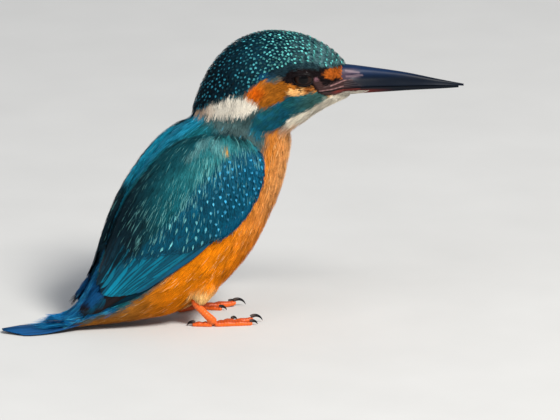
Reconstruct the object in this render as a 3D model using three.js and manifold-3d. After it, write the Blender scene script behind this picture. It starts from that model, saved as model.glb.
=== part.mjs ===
// A common kingfisher (Alcedo atthis), a male, life size, standing at rest.
//
// Millimetres, +Z up. The breast faces +X and the bird's left is +Y. The head is turned a little to the
// bird's right. The soles of both feet and the tip of the tail lie on the floor at Z = 0.
// The feathered body is modelled whole, as lofts between a back line and a belly line, and is then parted
// into head, neck and trunk by thin cuts. Each wing is a plate that follows the trunk's own surface.

import * as THREE from "three";
import { mergeVertices } from "three/addons/utils/BufferGeometryUtils.js";
import Module from "manifold-3d";

const wasm = await Module();
wasm.setup();

// ---------------------------------------------------------------- driving dimensions

const GAP = 0.3; // between pieces that touch
const HALF_TURN = Math.PI;
const upwards = [0, 0, 1];
const degrees = THREE.MathUtils.degToRad;

const headTurn = degrees(-16); // about +Z, towards the bird's right
const headPivotX = 8; // the upright axis that the head turns about

const eye = { forward: 23.8, height: 80.5, aside: 8.3, radius: 4.1 };
const bill = { root: 30.5, tip: 74.4, tipHeight: 75.7, mouthHeight: 75.9 };

const foot = { aside: 10.75, sole: 0.3 }; // sole: how much is flattened off what lies on the floor
const ankle = { x: -6.2, aside: 10.2, height: 7.9, radius: 1.15 };
const thigh = { x: -0.5, aside: 9, height: 15.5, radius: 4.6 };

const claw = { radius: 0.62, rise: degrees(28), droop: degrees(72) };

const tail = { root: -29, tip: -66, halfWidth: 7.6, thickness: 1.9 };

// ---------------------------------------------------------------- solids from points

// Turns a closed skin's faces outwards, whichever way round its rings were given.
function facingOut(geometry) {
  const p = geometry.getAttribute("position");
  const index = geometry.getIndex().array;
  const corners = [0, 1, 2].map(() => new THREE.Vector3());
  let sixVolumes = 0;
  for (let i = 0; i < index.length; i += 3) {
    corners.forEach((corner, k) => corner.fromBufferAttribute(p, index[i + k]));
    sixVolumes += corners[0].dot(corners[1].cross(corners[2]));
  }
  if (sixVolumes < 0)
    for (let i = 0; i < index.length; i += 3)
      [index[i + 1], index[i + 2]] = [index[i + 2], index[i + 1]];
  return geometry;
}

// A closed skin over a row of rings, each a closed loop with the same number of points.
function skinOver(rings) {
  const sides = rings[0].length;
  const points = rings.flat();
  const faces = [];
  for (let r = 0; r + 1 < rings.length; r++)
    for (let k = 0; k < sides; k++) {
      const next = (k + 1) % sides;
      const [a, b] = [r * sides + k, r * sides + next];
      faces.push(a, b, a + sides, b, b + sides, a + sides);
    }
  for (const [start, turned] of [[0, true], [(rings.length - 1) * sides, false]]) {
    const ring = points.slice(start, start + sides);
    const middle = ring.reduce((sum, q) => sum.add(q), new THREE.Vector3());
    const hub = points.push(middle.divideScalar(sides)) - 1;
    for (let k = 0; k < sides; k++) {
      const pair = [start + k, start + ((k + 1) % sides)];
      faces.push(hub, ...(turned ? pair.reverse() : pair));
    }
  }
  const geometry = new THREE.BufferGeometry().setFromPoints(points);
  geometry.setIndex(faces);
  return facingOut(geometry);
}

function toSolid(geometry) {
  const bare = mergeVertices(geometry.clone(), 1e-4);
  return new wasm.Manifold(
    new wasm.Mesh({
      numProp: 3,
      vertProperties: new Float32Array(bare.getAttribute("position").array),
      triVerts: new Uint32Array(bare.getIndex().array),
    }),
  );
}

function toGeometry(solid) {
  const { vertProperties, triVerts, numProp } = solid.getMesh();
  const points = [];
  for (let i = 0; i < vertProperties.length; i += numProp)
    points.push(new THREE.Vector3(...vertProperties.subarray(i, i + 3)));
  const geometry = new THREE.BufferGeometry().setFromPoints(points);
  geometry.setIndex([...triVerts]);
  return geometry;
}

// What a solid keeps on the far side of a plane through two points of the side view, seen along Y.
function keepBeyond(solid, from, to, shift) {
  const along = to.clone().sub(from).normalize();
  const normal = new THREE.Vector3(-along.y, 0, along.x);
  const reach = normal.x * from.x + normal.z * from.y + shift;
  return solid.trimByPlane(normal.toArray(), reach);
}

function keepBefore(solid, from, to, shift) {
  return keepBeyond(solid, to, from, shift);
}

// The largest piece, when a cut has left a crumb beside it.
function largest(solid) {
  return solid.decompose().sort((a, b) => b.volume() - a.volume())[0];
}

// ---------------------------------------------------------------- lofts between two lines

// One section of a body: where it meets the back line and the belly line, as (x, z), and half its width.
const section = (back, belly, halfWidth) => ({
  back: new THREE.Vector2(...back),
  belly: new THREE.Vector2(...belly),
  halfWidth,
});

// A body through its sections. The function it returns gives the point of the surface at a station, counted
// in sections, and at an angle from the back line round the bird's right side, grown outwards by `grow`.
function bodyThrough(sections) {
  const last = sections.length - 1;
  const back = new THREE.SplineCurve(sections.map((s) => s.back));
  const belly = new THREE.SplineCurve(sections.map((s) => s.belly));
  const width = new THREE.SplineCurve(sections.map((s, i) => new THREE.Vector2(i, s.halfWidth)));
  const surface = (station, angle, grow = 0) => {
    const share = station / last;
    const top = back.getPoint(share);
    const middle = belly.getPoint(share).add(top).multiplyScalar(0.5);
    const reach = top.sub(middle);
    reach.setLength(reach.length() + grow);
    const aside = (width.getPoint(share).y + grow) * Math.sin(angle);
    return new THREE.Vector3(
      middle.x + reach.x * Math.cos(angle),
      -aside,
      middle.y + reach.y * Math.cos(angle),
    );
  };
  return { surface, last };
}

function loftBody({ surface, last }, steps, sides, grow = 0) {
  const rings = [];
  for (let i = 0; i <= steps; i++) {
    const station = (i / steps) * last;
    rings.push(
      Array.from({ length: sides }, (_, k) => surface(station, (k / sides) * 2 * HALF_TURN, grow)),
    );
  }
  return skinOver(rings);
}

// A round limb through [x, y, z, radius] points, with domed ends.
function limb(stops, steps, sides, grow = 0) {
  const line = new THREE.CatmullRomCurve3(stops.map(([x, y, z]) => new THREE.Vector3(x, y, z)));
  const radii = new THREE.SplineCurve(stops.map((s, i) => new THREE.Vector2(i, s[3])));
  const rings = [];
  for (let i = 0; i <= steps; i++) {
    const share = i / steps;
    const centre = line.getPoint(share);
    const forward = line.getTangent(share);
    const aside = new THREE.Vector3(0, 0, 1).cross(forward).normalize();
    const upward = forward.clone().cross(aside);
    const dome = Math.sqrt(Math.max(0.12, 1 - (2 * share - 1) ** 10));
    const radius = (radii.getPoint(share).y + grow) * dome;
    rings.push(
      Array.from({ length: sides }, (_, k) => {
        const angle = (k / sides) * 2 * HALF_TURN;
        return centre
          .clone()
          .addScaledVector(aside, radius * Math.cos(angle))
          .addScaledVector(upward, radius * Math.sin(angle));
      }),
    );
  }
  return skinOver(rings);
}

// ---------------------------------------------------------------- trunk, head and neck

const trunkBody = bodyThrough([
  section([3.4, 74], [25.6, 64], 10.5), // inside the head
  section([-2, 67.6], [28.8, 58.2], 13.4),
  section([-7, 63.7], [27.4, 50], 15.9), // shoulders
  section([-12.8, 58.8], [25, 41.2], 17.6),
  section([-18.8, 51.8], [21, 32.3], 18.5), // breast
  section([-24.3, 43.8], [15.9, 22.8], 18.5),
  section([-28.5, 35.4], [8.8, 14.3], 17.3), // belly
  section([-31.7, 27], [0.5, 7.6], 15.2),
  section([-34.6, 19], [-9.5, 3], 12.2),
  section([-38.6, 12.6], [-20.5, 1.5], 9.6), // vent
  section([-43, 8.1], [-31, 0.9], 7.4),
  section([-48.5, 5], [-41, 0.7], 5.4),
  section([-51.5, 3.5], [-46, 1.2], 3), // end of the tail coverts
]);

// In the head's own frame: forward along the bill, from the pivot, before the head is turned.
const headBody = bodyThrough([
  section([38.4, 82], [42, 73.2], 2.9),
  section([36.6, 84], [39.5, 72.1], 4.6),
  section([33.6, 86.8], [36.5, 70.9], 6.7),
  section([29.5, 89.6], [32.5, 69], 9.4), // lores
  section([24.2, 92], [28.2, 66.6], 11.3), // eyes
  section([17, 93.4], [23.4, 63], 12.9), // crown
  section([9, 92.9], [18.5, 59.5], 13.8),
  section([1, 89.2], [13.5, 57], 13.6),
  section([-5.1, 82.7], [8, 56.5], 12.5), // nape
  section([-9.3, 74.6], [1, 58], 10.3),
  section([-11.6, 67.4], [-5.5, 60.5], 6.4),
]);

const turned = new THREE.Matrix4()
  .makeTranslation(headPivotX, 0, 0)
  .multiply(new THREE.Matrix4().makeRotationZ(headTurn));

const trunkSolid = (grow) => toSolid(loftBody(trunkBody, 26, 22, grow));
const headSolid = (grow) => toSolid(loftBody(headBody, 18, 22, grow).applyMatrix4(turned));
const bodyRoom = trunkSolid(GAP).add(headSolid(GAP));

// ---------------------------------------------------------------- bill

// Half a bill between a ridge line and a mouth line, given as [forward, ridge, mouth, half width] stops.
function mandible(stops, grow = 0) {
  const ridge = new THREE.SplineCurve(stops.map(([x, z]) => new THREE.Vector2(x, z)));
  const mouth = new THREE.SplineCurve(stops.map(([x, , z]) => new THREE.Vector2(x, z)));
  const width = new THREE.SplineCurve(stops.map((s, i) => new THREE.Vector2(i, s[3])));
  const [steps, sides] = [12, 10];
  const rings = [];
  for (let i = 0; i <= steps; i++) {
    const share = i / steps;
    const [top, low] = [ridge.getPoint(share), mouth.getPoint(share)];
    const rise = top.y - low.y;
    const grown = rise + Math.sign(rise) * 2 * grow;
    const half = width.getPoint(share).y + grow;
    const lift = low.y - Math.sign(rise) * grow;
    rings.push(
      Array.from({ length: sides }, (_, k) => {
        const angle = (k / sides) * 2 * HALF_TURN;
        const height = Math.max(0, Math.sin(angle)) ** 1.25;
        return new THREE.Vector3(top.x, half * Math.cos(angle), lift + grown * height);
      }),
    );
  }
  return skinOver(rings);
}

const lowerLip = bill.mouthHeight - GAP;
const upperStops = [
  [bill.root, 82, bill.mouthHeight - 0.8, 6.9],
  [34, 82.4, bill.mouthHeight - 0.3, 6.2],
  [38, 82.3, bill.mouthHeight, 4.6],
  [46, 81.3, bill.mouthHeight + 0.1, 3.2],
  [56, 79.8, bill.mouthHeight + 0.1, 2.3],
  [66, 77.7, bill.mouthHeight, 1.4],
  [bill.tip, bill.tipHeight + 0.4, bill.tipHeight - 0.2, 0.25],
];
const lowerStops = [
  [bill.root, 73, lowerLip - 0.8, 6.6],
  [34, 72.9, lowerLip - 0.3, 5.9],
  [38, 73, lowerLip, 4.3],
  [48, 73.5, lowerLip + 0.1, 2.8],
  [58, 74.1, lowerLip + 0.1, 1.9],
  [68, 74.6, lowerLip, 1.1],
  [bill.tip - 1.6, bill.tipHeight - 0.8, bill.tipHeight - 0.3, 0.3],
];

const upperBill = toSolid(mandible(upperStops).applyMatrix4(turned));
const lowerBill = toSolid(mandible(lowerStops).applyMatrix4(turned));
const billRoom = toSolid(mandible(upperStops, GAP).applyMatrix4(turned)).add(
  toSolid(mandible(lowerStops, GAP).applyMatrix4(turned)),
);

// ---------------------------------------------------------------- eyes

function eyeball(side, radius) {
  const ball = new THREE.SphereGeometry(radius, 12, 8).rotateX(HALF_TURN / 2);
  ball.deleteAttribute("normal");
  ball.deleteAttribute("uv");
  return toSolid(ball.translate(eye.forward, side * eye.aside, eye.height).applyMatrix4(turned));
}

// ---------------------------------------------------------------- the wings

// Where the folded wing lies on the trunk, by station: the angles of its upper and its lower edge from the
// back line, in degrees, and how thick it is.
const wingStops = [
  { station: 1.45, upper: 66, lower: 90, thick: 1.1 },
  { station: 1.8, upper: 42, lower: 104, thick: 1.8 },
  { station: 2.4, upper: 26, lower: 111, thick: 2.3 },
  { station: 3.2, upper: 17, lower: 115, thick: 2.5 },
  { station: 4.2, upper: 13, lower: 113, thick: 2.5 },
  { station: 5.2, upper: 10, lower: 101, thick: 2.4 },
  { station: 6.2, upper: 8, lower: 90, thick: 2.3 },
  { station: 7.2, upper: 9, lower: 85, thick: 2.2 },
  { station: 8.2, upper: 15, lower: 81, thick: 2.1 },
  { station: 9.1, upper: 30, lower: 73, thick: 1.9 },
  { station: 9.8, upper: 44, lower: 64, thick: 1.5 },
];
const wingReach = { right: 0.45, left: 0 }; // how many stations further each wing's tip lies

function wing(side, reach) {
  const [steps, across] = [19, 8];
  const line = (name) =>
    new THREE.SplineCurve(wingStops.map((stop) => new THREE.Vector2(stop.station, stop[name])));
  const [upper, lower, thick] = ["upper", "lower", "thick"].map(line);
  const rings = [];
  for (let i = 0; i <= steps; i++) {
    const share = i / steps;
    const station = upper.getPoint(share).x + reach * share ** 4;
    const [from, to] = [upper.getPoint(share).y, lower.getPoint(share).y];
    const depth = thick.getPoint(share).y;
    const places = Array.from({ length: across + 1 }, (_, k) => k / across);
    const at = (b, grow) => {
      const point = trunkBody.surface(station, degrees(from + (to - from) * b), grow);
      return point.multiply(new THREE.Vector3(1, -side, 1));
    };
    const swell = (b) => depth * (0.45 + 0.55 * Math.sqrt(Math.sin(HALF_TURN * b)));
    const outer = places.map((b) => at(b, GAP + swell(b)));
    const inner = places.map((b) => at(b, GAP)).reverse();
    rings.push([...outer, ...inner]);
  }
  return toSolid(skinOver(rings));
}

// ---------------------------------------------------------------- tail

// Twelve folded feathers as one plate: rounded at the tip, and its tip lies on the floor.
function tailPlate() {
  const [steps, sides] = [14, 14];
  const rings = [];
  for (let i = 0; i <= steps; i++) {
    const share = i / steps;
    const x = tail.root + (tail.tip - tail.root) * share;
    const taper = 1 - 0.3 * Math.max(0, share - 0.45) - 0.3 * (1 - share) ** 2;
    const rounding = Math.sqrt(Math.max(0.02, 1 - Math.max(0, (share - 0.72) / 0.285) ** 2));
    const half = tail.halfWidth * taper * rounding;
    const slope = Math.max(0, 1 - share / 0.7);
    const height = 5.6 * slope ** 1.5 + tail.thickness / 2 - foot.sole;
    const depth = (tail.thickness / 2) * (1.2 - 0.3 * share);
    rings.push(
      Array.from({ length: sides }, (_, k) => {
        const angle = (k / sides) * 2 * HALF_TURN;
        const aside = half * Math.cos(angle);
        const arch = -0.9 * (1 - share) * (aside / tail.halfWidth) ** 2;
        return new THREE.Vector3(x, aside, height + arch + depth * Math.sin(angle));
      }),
    );
  }
  return toSolid(skinOver(rings)).trimByPlane(upwards, 0);
}

// ---------------------------------------------------------------- legs

// Toes by name: the way each points from straight ahead, outwards; its length and thickness; how far its
// last joint is lifted off the floor; and the length of its claw along the curve.
const toes = {
  middle: { turn: -3, length: 13.4, radius: 1.05, lift: 0.7, claw: 4.8 },
  outer: { turn: 8, length: 12.6, radius: 0.95, lift: 0, claw: 2.9 },
  inner: { turn: -27, length: 8.8, radius: 0.9, lift: 0, claw: 2.8 },
  hind: { turn: 200, length: 6.6, radius: 0.95, lift: 0, claw: 3 },
};
const toeStart = 0.4;

function shank(side, grow = 0) {
  const foldY = side * ankle.aside;
  const footY = side * foot.aside;
  const stops = [
    [ankle.x - 0.6, foldY, ankle.height + 1.2, ankle.radius],
    [ankle.x, foldY, ankle.height - 0.6, ankle.radius],
    [-3.2, (footY + foldY) / 2, 4.6, ankle.radius * 0.95],
    [-0.6, footY, 2.3, ankle.radius * 1.15],
    [0.6, footY, 1.2, ankle.radius * 1.05],
  ];
  return toSolid(limb(stops, 9, 10, grow)).trimByPlane(upwards, 0);
}

// The feathered upper leg, from the flank down to the ankle.
function thighOf(side) {
  const stops = [
    [thigh.x, side * thigh.aside, thigh.height, thigh.radius],
    [thigh.x - 1.6, side * (thigh.aside + 0.5), 12.2, thigh.radius * 0.84],
    [-4, side * (thigh.aside + 0.9), 9.2, thigh.radius * 0.58],
    [-5.6, side * ankle.aside, 7, thigh.radius * 0.34],
  ];
  return largest(toSolid(limb(stops, 8, 12)).subtract(bodyRoom).subtract(shank(side, GAP)));
}

function toeOf(side, { turn, length, radius, lift }, grow = 0) {
  const heading = side * degrees(turn);
  const stop = (distance, height, size) => [
    Math.cos(heading) * distance,
    side * foot.aside + Math.sin(heading) * distance,
    height - foot.sole,
    size,
  ];
  const stops = [
    stop(toeStart, radius, radius),
    stop(length * 0.4, radius, radius * 0.92),
    stop(length * 0.75, radius + lift * 0.15, radius * 0.88),
    stop(length, radius * 0.8 + lift, radius * 0.82),
  ];
  return toSolid(limb(stops, 7, 8, grow)).trimByPlane(upwards, 0);
}

// A hooked cone that leaves the toe a little upwards and curls down to just above the floor.
function clawOf(side, toe) {
  const [steps, sides] = [6, 6];
  const heading = side * degrees(toe.turn);
  const bend = toe.claw / (claw.rise + claw.droop);
  const rings = [];
  for (let i = 0; i <= steps; i++) {
    const share = i / steps;
    const slope = -claw.rise + share * (claw.rise + claw.droop);
    const ahead = bend * (Math.sin(claw.rise) + Math.sin(slope));
    const drop = bend * (Math.cos(claw.rise) - Math.cos(slope));
    const radius = claw.radius * (1 - 0.82 * share ** 1.4);
    rings.push(
      Array.from({ length: sides }, (_, k) => {
        const angle = (k / sides) * 2 * HALF_TURN;
        const out = radius * Math.sin(angle);
        const aside = 0.8 * radius * Math.cos(angle);
        return new THREE.Vector3(ahead + Math.sin(slope) * out, aside, Math.cos(slope) * out - drop);
      }),
    );
  }
  const inset = toe.length - 0.8;
  const height = toe.radius * 1.45 + toe.lift - foot.sole / 2;
  const hook = skinOver(rings).translate(inset, 0, height).rotateZ(heading);
  return toSolid(hook.translate(0, side * foot.aside, 0));
}

// The bare pieces of one foot, each cut back from those before it.
function footPieces(side) {
  const label = side < 0 ? "right" : "left";
  const pieces = [[`shank_${label}`, shank(side), "leg"]];
  let taken = shank(side, GAP);
  for (const [name, toe] of Object.entries(toes)) {
    pieces.push([`toe_${name}_${label}`, largest(toeOf(side, toe).subtract(taken)), "leg"]);
    taken = taken.add(toeOf(side, toe, GAP));
  }
  for (const [name, toe] of Object.entries(toes))
    pieces.push([`claw_${name}_${label}`, largest(clawOf(side, toe).subtract(taken)), "claw"]);
  return pieces;
}

// ---------------------------------------------------------------- parting the body

// The cuts, as lines in the side view: head from neck, and neck from trunk.
const headLine = [new THREE.Vector2(-20, 75.6), new THREE.Vector2(32, 61.4)];
const neckLine = [new THREE.Vector2(-20, 68.6), new THREE.Vector2(36, 53.4)];

const sockets = eyeball(-1, eye.radius + GAP).add(eyeball(1, eye.radius + GAP));
const legRoom = shank(-1, GAP).add(shank(1, GAP));
const headWhole = headSolid(0).subtract(billRoom).subtract(sockets);
const flesh = headWhole.add(trunkSolid(0)).subtract(legRoom);
const belowHead = keepBefore(flesh, ...headLine, GAP / 2);

const wingRight = wing(-1, wingReach.right).subtract(headSolid(GAP));
const wingLeft = wing(1, wingReach.left).subtract(headSolid(GAP));
const tailPiece = tailPlate().subtract(bodyRoom).subtract(wingRight.add(wingLeft));

const parts = [
  ["head", largest(keepBeyond(flesh, ...headLine, GAP / 2)), "crown"],
  ["neck", largest(keepBeyond(belowHead, ...neckLine, GAP / 2)), "collar"],
  ["trunk", largest(keepBefore(belowHead, ...neckLine, GAP / 2)), "belly"],
  ["wing_right", largest(wingRight), "wing"],
  ["wing_left", largest(wingLeft), "wing"],
  ["tail", largest(tailPiece), "tail"],
  ["thigh_right", thighOf(-1), "thigh"],
  ["thigh_left", thighOf(1), "thigh"],
  ["bill_upper", upperBill, "bill"],
  ["bill_lower", lowerBill, "bill"],
  ["eye_right", eyeball(-1, eye.radius), "eye"],
  ["eye_left", eyeball(1, eye.radius), "eye"],
  ...footPieces(-1),
  ...footPieces(1),
];

// ---------------------------------------------------------------- materials and the finished group

const finish = (color, roughness) => new THREE.MeshStandardMaterial({ color, roughness, metalness: 0 });

const materials = {
  crown: finish(0x1d525b, 0.6),
  collar: finish(0x2a6f7d, 0.65),
  belly: finish(0xdb7b11, 0.8),
  wing: finish(0x1a5f70, 0.6),
  tail: finish(0x063a66, 0.55),
  thigh: finish(0xd9964a, 0.85),
  leg: finish(0xd0592a, 0.5),
  claw: finish(0x1c1a1a, 0.35),
  bill: finish(0x1a1d26, 0.35),
  eye: finish(0x140a08, 0.05),
};

const kingfisher = new THREE.Group();
for (const [name, solid, material] of parts) {
  const mesh = new THREE.Mesh(toGeometry(solid), materials[material]);
  mesh.name = name;
  kingfisher.add(mesh);
}

// The origin is the middle of the bird's bounding box, on the floor.
const bounds = new THREE.Box3().setFromObject(kingfisher);
const centre = bounds.getCenter(new THREE.Vector3());
kingfisher.position.set(-centre.x, -centre.y, -bounds.min.z);

export default kingfisher;
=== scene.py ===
"""The looks of a life-size common kingfisher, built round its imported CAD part.

Shapes are worked out in millimetres in the bird's own frame: the breast faces +X, the bird's left is +Y,
and the origin is on the floor between the shanks. They are turned into metres in the CAD's frame when a
piece is made. Markings on the head are placed in the head's frame, from the point midway between the
eyes: (forward, aside, above).
"""

import math

import bmesh
import bpy
import numpy as np
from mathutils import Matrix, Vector, noise
from mathutils.bvhtree import BVHTree


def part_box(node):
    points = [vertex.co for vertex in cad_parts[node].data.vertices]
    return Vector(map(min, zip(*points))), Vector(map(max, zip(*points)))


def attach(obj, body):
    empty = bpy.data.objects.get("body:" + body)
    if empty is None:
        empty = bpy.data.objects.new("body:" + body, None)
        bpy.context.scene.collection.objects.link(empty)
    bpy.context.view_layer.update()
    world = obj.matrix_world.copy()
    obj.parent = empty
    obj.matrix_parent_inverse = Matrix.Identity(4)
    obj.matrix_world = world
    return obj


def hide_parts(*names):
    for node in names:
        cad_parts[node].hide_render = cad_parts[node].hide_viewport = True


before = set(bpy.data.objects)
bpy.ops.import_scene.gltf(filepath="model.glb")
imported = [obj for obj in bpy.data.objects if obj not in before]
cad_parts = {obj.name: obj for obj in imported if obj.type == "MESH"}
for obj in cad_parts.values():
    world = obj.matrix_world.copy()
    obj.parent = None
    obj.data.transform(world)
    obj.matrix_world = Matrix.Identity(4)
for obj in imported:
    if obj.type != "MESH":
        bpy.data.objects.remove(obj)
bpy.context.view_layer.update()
MM = 0.001
rng = np.random.default_rng(7)

# ------------------------------------------------------------------ the bird's frame and its head's frame

SHANK_FRONT = 0.88  # how far the front of a shank lies ahead of the origin


def middle_of(node):
    low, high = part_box(node)
    return np.array((low + high) / 2) / MM


ORIGIN = np.array([
    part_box("shank_right")[1].x / MM - SHANK_FRONT,
    (middle_of("shank_right")[1] + middle_of("shank_left")[1]) / 2,
    0.0,
])
right_eye = middle_of("eye_right") - ORIGIN
left_eye = middle_of("eye_left") - ORIGIN
EYES = (right_eye + left_eye) / 2
LEFT = (left_eye - right_eye) / np.linalg.norm(left_eye - right_eye)
UP = np.array([0.0, 0.0, 1.0])
FORWARD = np.cross(LEFT, UP)
EYE_ASIDE = float(np.linalg.norm(left_eye - right_eye) / 2)
EYE_RADIUS = float(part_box("eye_right")[1].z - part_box("eye_right")[0].z) / 2 / MM


def unit(vectors):
    return vectors / np.maximum(np.linalg.norm(vectors, axis=-1, keepdims=True), 1e-9)


def smooth(low, high, x):
    """0 below low and 1 above high, with an even step between. High may be the lower number."""
    t = np.clip((x - low) / (high - low), 0, 1)
    return t * t * (3 - 2 * t)


def in_head(points):
    """Forward of the eyes, aside towards the left, and above the eyes."""
    away = points - EYES
    return away @ FORWARD, away @ LEFT, away @ UP


def from_head(forward, aside, above):
    forward, aside, above = np.broadcast_arrays(forward, aside, above)
    return EYES + forward[..., None] * FORWARD + aside[..., None] * LEFT + above[..., None] * UP


def paint(red, green, blue):
    """A linear colour from the usual 0 to 255 screen values."""
    c = np.array([red, green, blue]) / 255
    return np.where(c <= 0.04045, c / 12.92, ((c + 0.055) / 1.055) ** 2.4)


# ------------------------------------------------------------------ surfaces

RUMP_COVER = 0.7  # how thickly the rump lies over the tail at its end
# Each half of the bill by stops along it, in the head's frame: forward, the ridge's height, the mouth
# line's height, and half the width at the mouth line.
UPPER_BILL = [
    (6.7, 1.5, -5.4, 6.4), (10.2, 1.9, -4.9, 5.9), (14.2, 1.8, -4.6, 4.5), (22.2, 0.8, -4.5, 3.2),
    (32.2, -0.7, -4.5, 2.3), (42.2, -2.8, -4.6, 1.4), (50.6, -4.4, -5.0, 0.2),
]
LOWER_BILL = [
    (6.7, -7.5, -5.7, 6.1), (10.2, -7.6, -5.2, 5.6), (14.2, -7.5, -4.9, 4.2), (24.2, -7.0, -4.8, 2.75),
    (34.2, -6.4, -4.8, 1.85), (44.2, -5.9, -4.9, 1.05), (49.0, -5.6, -5.1, 0.25),
]
FACE_END = 13.6  # how far forward of the eyes the face ends
BILL_CLEAR = 0.12  # between the bill's side and the surface that the last feathers lie on
LID_REACH = 3.0  # how far out from the middle of an eye its lids reach
LID_COVER = 0.35  # how far over the ball the feathers round it lie
PINCH = 0.16  # how far the side of the bill is hollowed between its ridge and the mouth
TAIL_FLAT_TOP = 1.35  # how high the upper side of the tail lies where it is flat on the floor
# Where it bends up from the floor, how much it rises, and over what length.
TAIL_BEND, TAIL_RISE, TAIL_RISE_LENGTH = -54.9, 5.6, 25.9
BODY_VOXEL, BODY_ROUNDS = 0.5, 24
WING_VOXEL, WING_ROUNDS = 0.4, 6
SIDES = {"right": -1, "left": 1}
FLESH = ["head", "neck", "trunk", "thigh_right", "thigh_left"]
WINGS = ["wing_right", "wing_left"]
FILLING = ["eye_right", "eye_left", "bill_upper", "bill_lower"]


class Surface:
    """A closed mesh that feathers are traced over: its points, faces, and smooth normals."""

    def __init__(self, points, quads):
        self.points, self.quads = points, quads
        corners = points[quads]
        normal = np.cross(corners[:, 2] - corners[:, 0], corners[:, 3] - corners[:, 1])
        self.area = np.linalg.norm(normal, axis=1) / 2
        at_points = np.zeros_like(self.points)
        for k in range(4):
            np.add.at(at_points, self.quads[:, k], normal)
        self.point_normals = unit(at_points)
        self.face_normals = unit(self.point_normals[self.quads].sum(axis=1))
        self.tree = BVHTree.FromPolygons(self.points.tolist(), self.quads.tolist())

    def nearest(self, points):
        """The nearest places on the surface, the normals there and how far off they are."""
        found = [self.tree.find_nearest(p) for p in points.tolist()]
        places = np.array([f[0] for f in found])
        normals = self.face_normals[[f[2] for f in found]]
        return places, normals, np.array([f[3] for f in found])

    def moved(self, offsets):
        return Surface(self.points + self.point_normals * np.asarray(offsets)[..., None], self.quads)

    def sample(self, count):
        """Random places spread evenly over the surface."""
        picked = rng.choice(len(self.quads), count, p=self.area / self.area.sum())
        corners = self.points[self.quads[picked]]
        s, t = rng.random((2, count, 1))
        low = corners[:, 0] * (1 - s) + corners[:, 1] * s
        high = corners[:, 3] * (1 - s) + corners[:, 2] * s
        return low * (1 - t) + high * t, self.face_normals[picked]


def remeshed(mesh, voxel, rounds):
    """The points and quads of a mesh laid over afresh with even squares, and smoothed."""
    holder = bpy.data.objects.new("remeshed", mesh)
    bpy.context.scene.collection.objects.link(holder)
    remesh = holder.modifiers.new("remesh", "REMESH")
    remesh.mode = "VOXEL"
    remesh.voxel_size = voxel
    relax = holder.modifiers.new("relax", "SMOOTH")
    relax.factor = 0.5
    relax.iterations = rounds
    made = holder.evaluated_get(bpy.context.evaluated_depsgraph_get()).to_mesh()
    points = np.zeros(len(made.vertices) * 3)
    made.vertices.foreach_get("co", points)
    quads = np.array([p.vertices[:] for p in made.polygons if len(p.vertices) == 4])
    bpy.data.objects.remove(holder)
    return points.reshape(-1, 3), quads


def fused(nodes, voxel, rounds, swell=0.2):
    """One smooth closed surface over some CAD nodes, closing the thin gaps between them."""
    bm = bmesh.new()
    for name in nodes:
        bm.from_mesh(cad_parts[name].data)
    bmesh.ops.remove_doubles(bm, verts=bm.verts, dist=1e-6)
    bmesh.ops.recalc_face_normals(bm, faces=bm.faces)
    bm.normal_update()
    for vert in bm.verts:
        vert.co = vert.co / MM - Vector(ORIGIN) + vert.normal * swell
    mesh = bpy.data.meshes.new("fused")
    bm.to_mesh(mesh)
    bm.free()
    surface = Surface(*remeshed(mesh, voxel, rounds))
    return surface.moved(np.full(len(surface.points), -swell))


def sunk_round_eyes(surface):
    """The hollow that each eye lies in: over the ball, down to its rim, and level 3 mm further out."""
    forward, aside, above = in_head(surface.points)
    reach = np.hypot(forward, above - 0.1)
    share = 1 - smooth(LID_REACH, LID_REACH + 3.0, reach)
    share = share * (np.abs(aside) > 4) * (np.abs(forward) < 8) * (np.abs(above) < 8)
    floor = EYE_ASIDE + LID_COVER + np.sqrt(EYE_RADIUS**2 - np.minimum(reach, LID_REACH) ** 2)
    shift = (floor - np.abs(aside)) * share * np.sign(aside)
    return Surface(surface.points + shift[:, None] * LEFT, surface.quads)


def bill_side(forward, above):
    """How far the side of the bill lies from its middle, and 0 over or under it."""
    sides = []
    for stops in (UPPER_BILL, LOWER_BILL):
        known = np.array(stops)
        ridge, mouth, half = (np.interp(forward, known[:, 0], known[:, k]) for k in (1, 2, 3))
        share = (above - mouth) / (ridge - mouth)
        held = np.clip(share, 0, 1)
        side = half * (1 - held**1.74) ** 0.43 * (1 - PINCH * np.sin(math.pi * held))
        sides.append(np.where(share > 0, side, 0))
    return np.maximum(*sides)


def drawn_to_bill(surface):
    """The face narrows towards the bill, and meets its sides where the feathers end."""
    forward, aside, above = in_head(surface.points)
    width = np.abs(aside)
    narrow = np.minimum(width, np.maximum(bill_side(forward, above) + BILL_CLEAR, 0.5 * width))
    share = smooth(8.5, FACE_END, forward)
    shift = (narrow - width) * share * np.sign(aside)
    return Surface(surface.points + shift[:, None] * LEFT, surface.quads)


def tail_top(x):
    """How high the upper side of the folded tail lies: raised at its root, and flat on the floor behind."""
    return TAIL_FLAT_TOP + TAIL_RISE * np.maximum(0, (x - TAIL_BEND) / TAIL_RISE_LENGTH) ** 1.5


def drawn_to_tail(surface):
    """The rump slopes down to the tail that it covers."""
    points = surface.points.copy()
    cover = tail_top(points[:, 0]) + RUMP_COVER
    sloped = np.minimum(points[:, 2], cover)
    sloped += (cover - sloped) * smooth(0.2, 0.6, surface.point_normals[:, 2])
    points[:, 2] += (sloped - points[:, 2]) * smooth(-36, -48, points[:, 0])
    return Surface(points, surface.quads)


def shaped(nodes):
    """The surface over some CAD nodes, fitted to the eyes, the bill and the tail."""
    return drawn_to_tail(drawn_to_bill(sunk_round_eyes(fused(nodes, BODY_VOXEL, BODY_ROUNDS))))



body = shaped(FLESH + FILLING)
whole = shaped(FLESH + WINGS + FILLING)
wings = {side: fused([f"wing_{side}"], WING_VOXEL, WING_ROUNDS, swell=0.0) for side in SIDES}

# ------------------------------------------------------------------ places on the body

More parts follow.
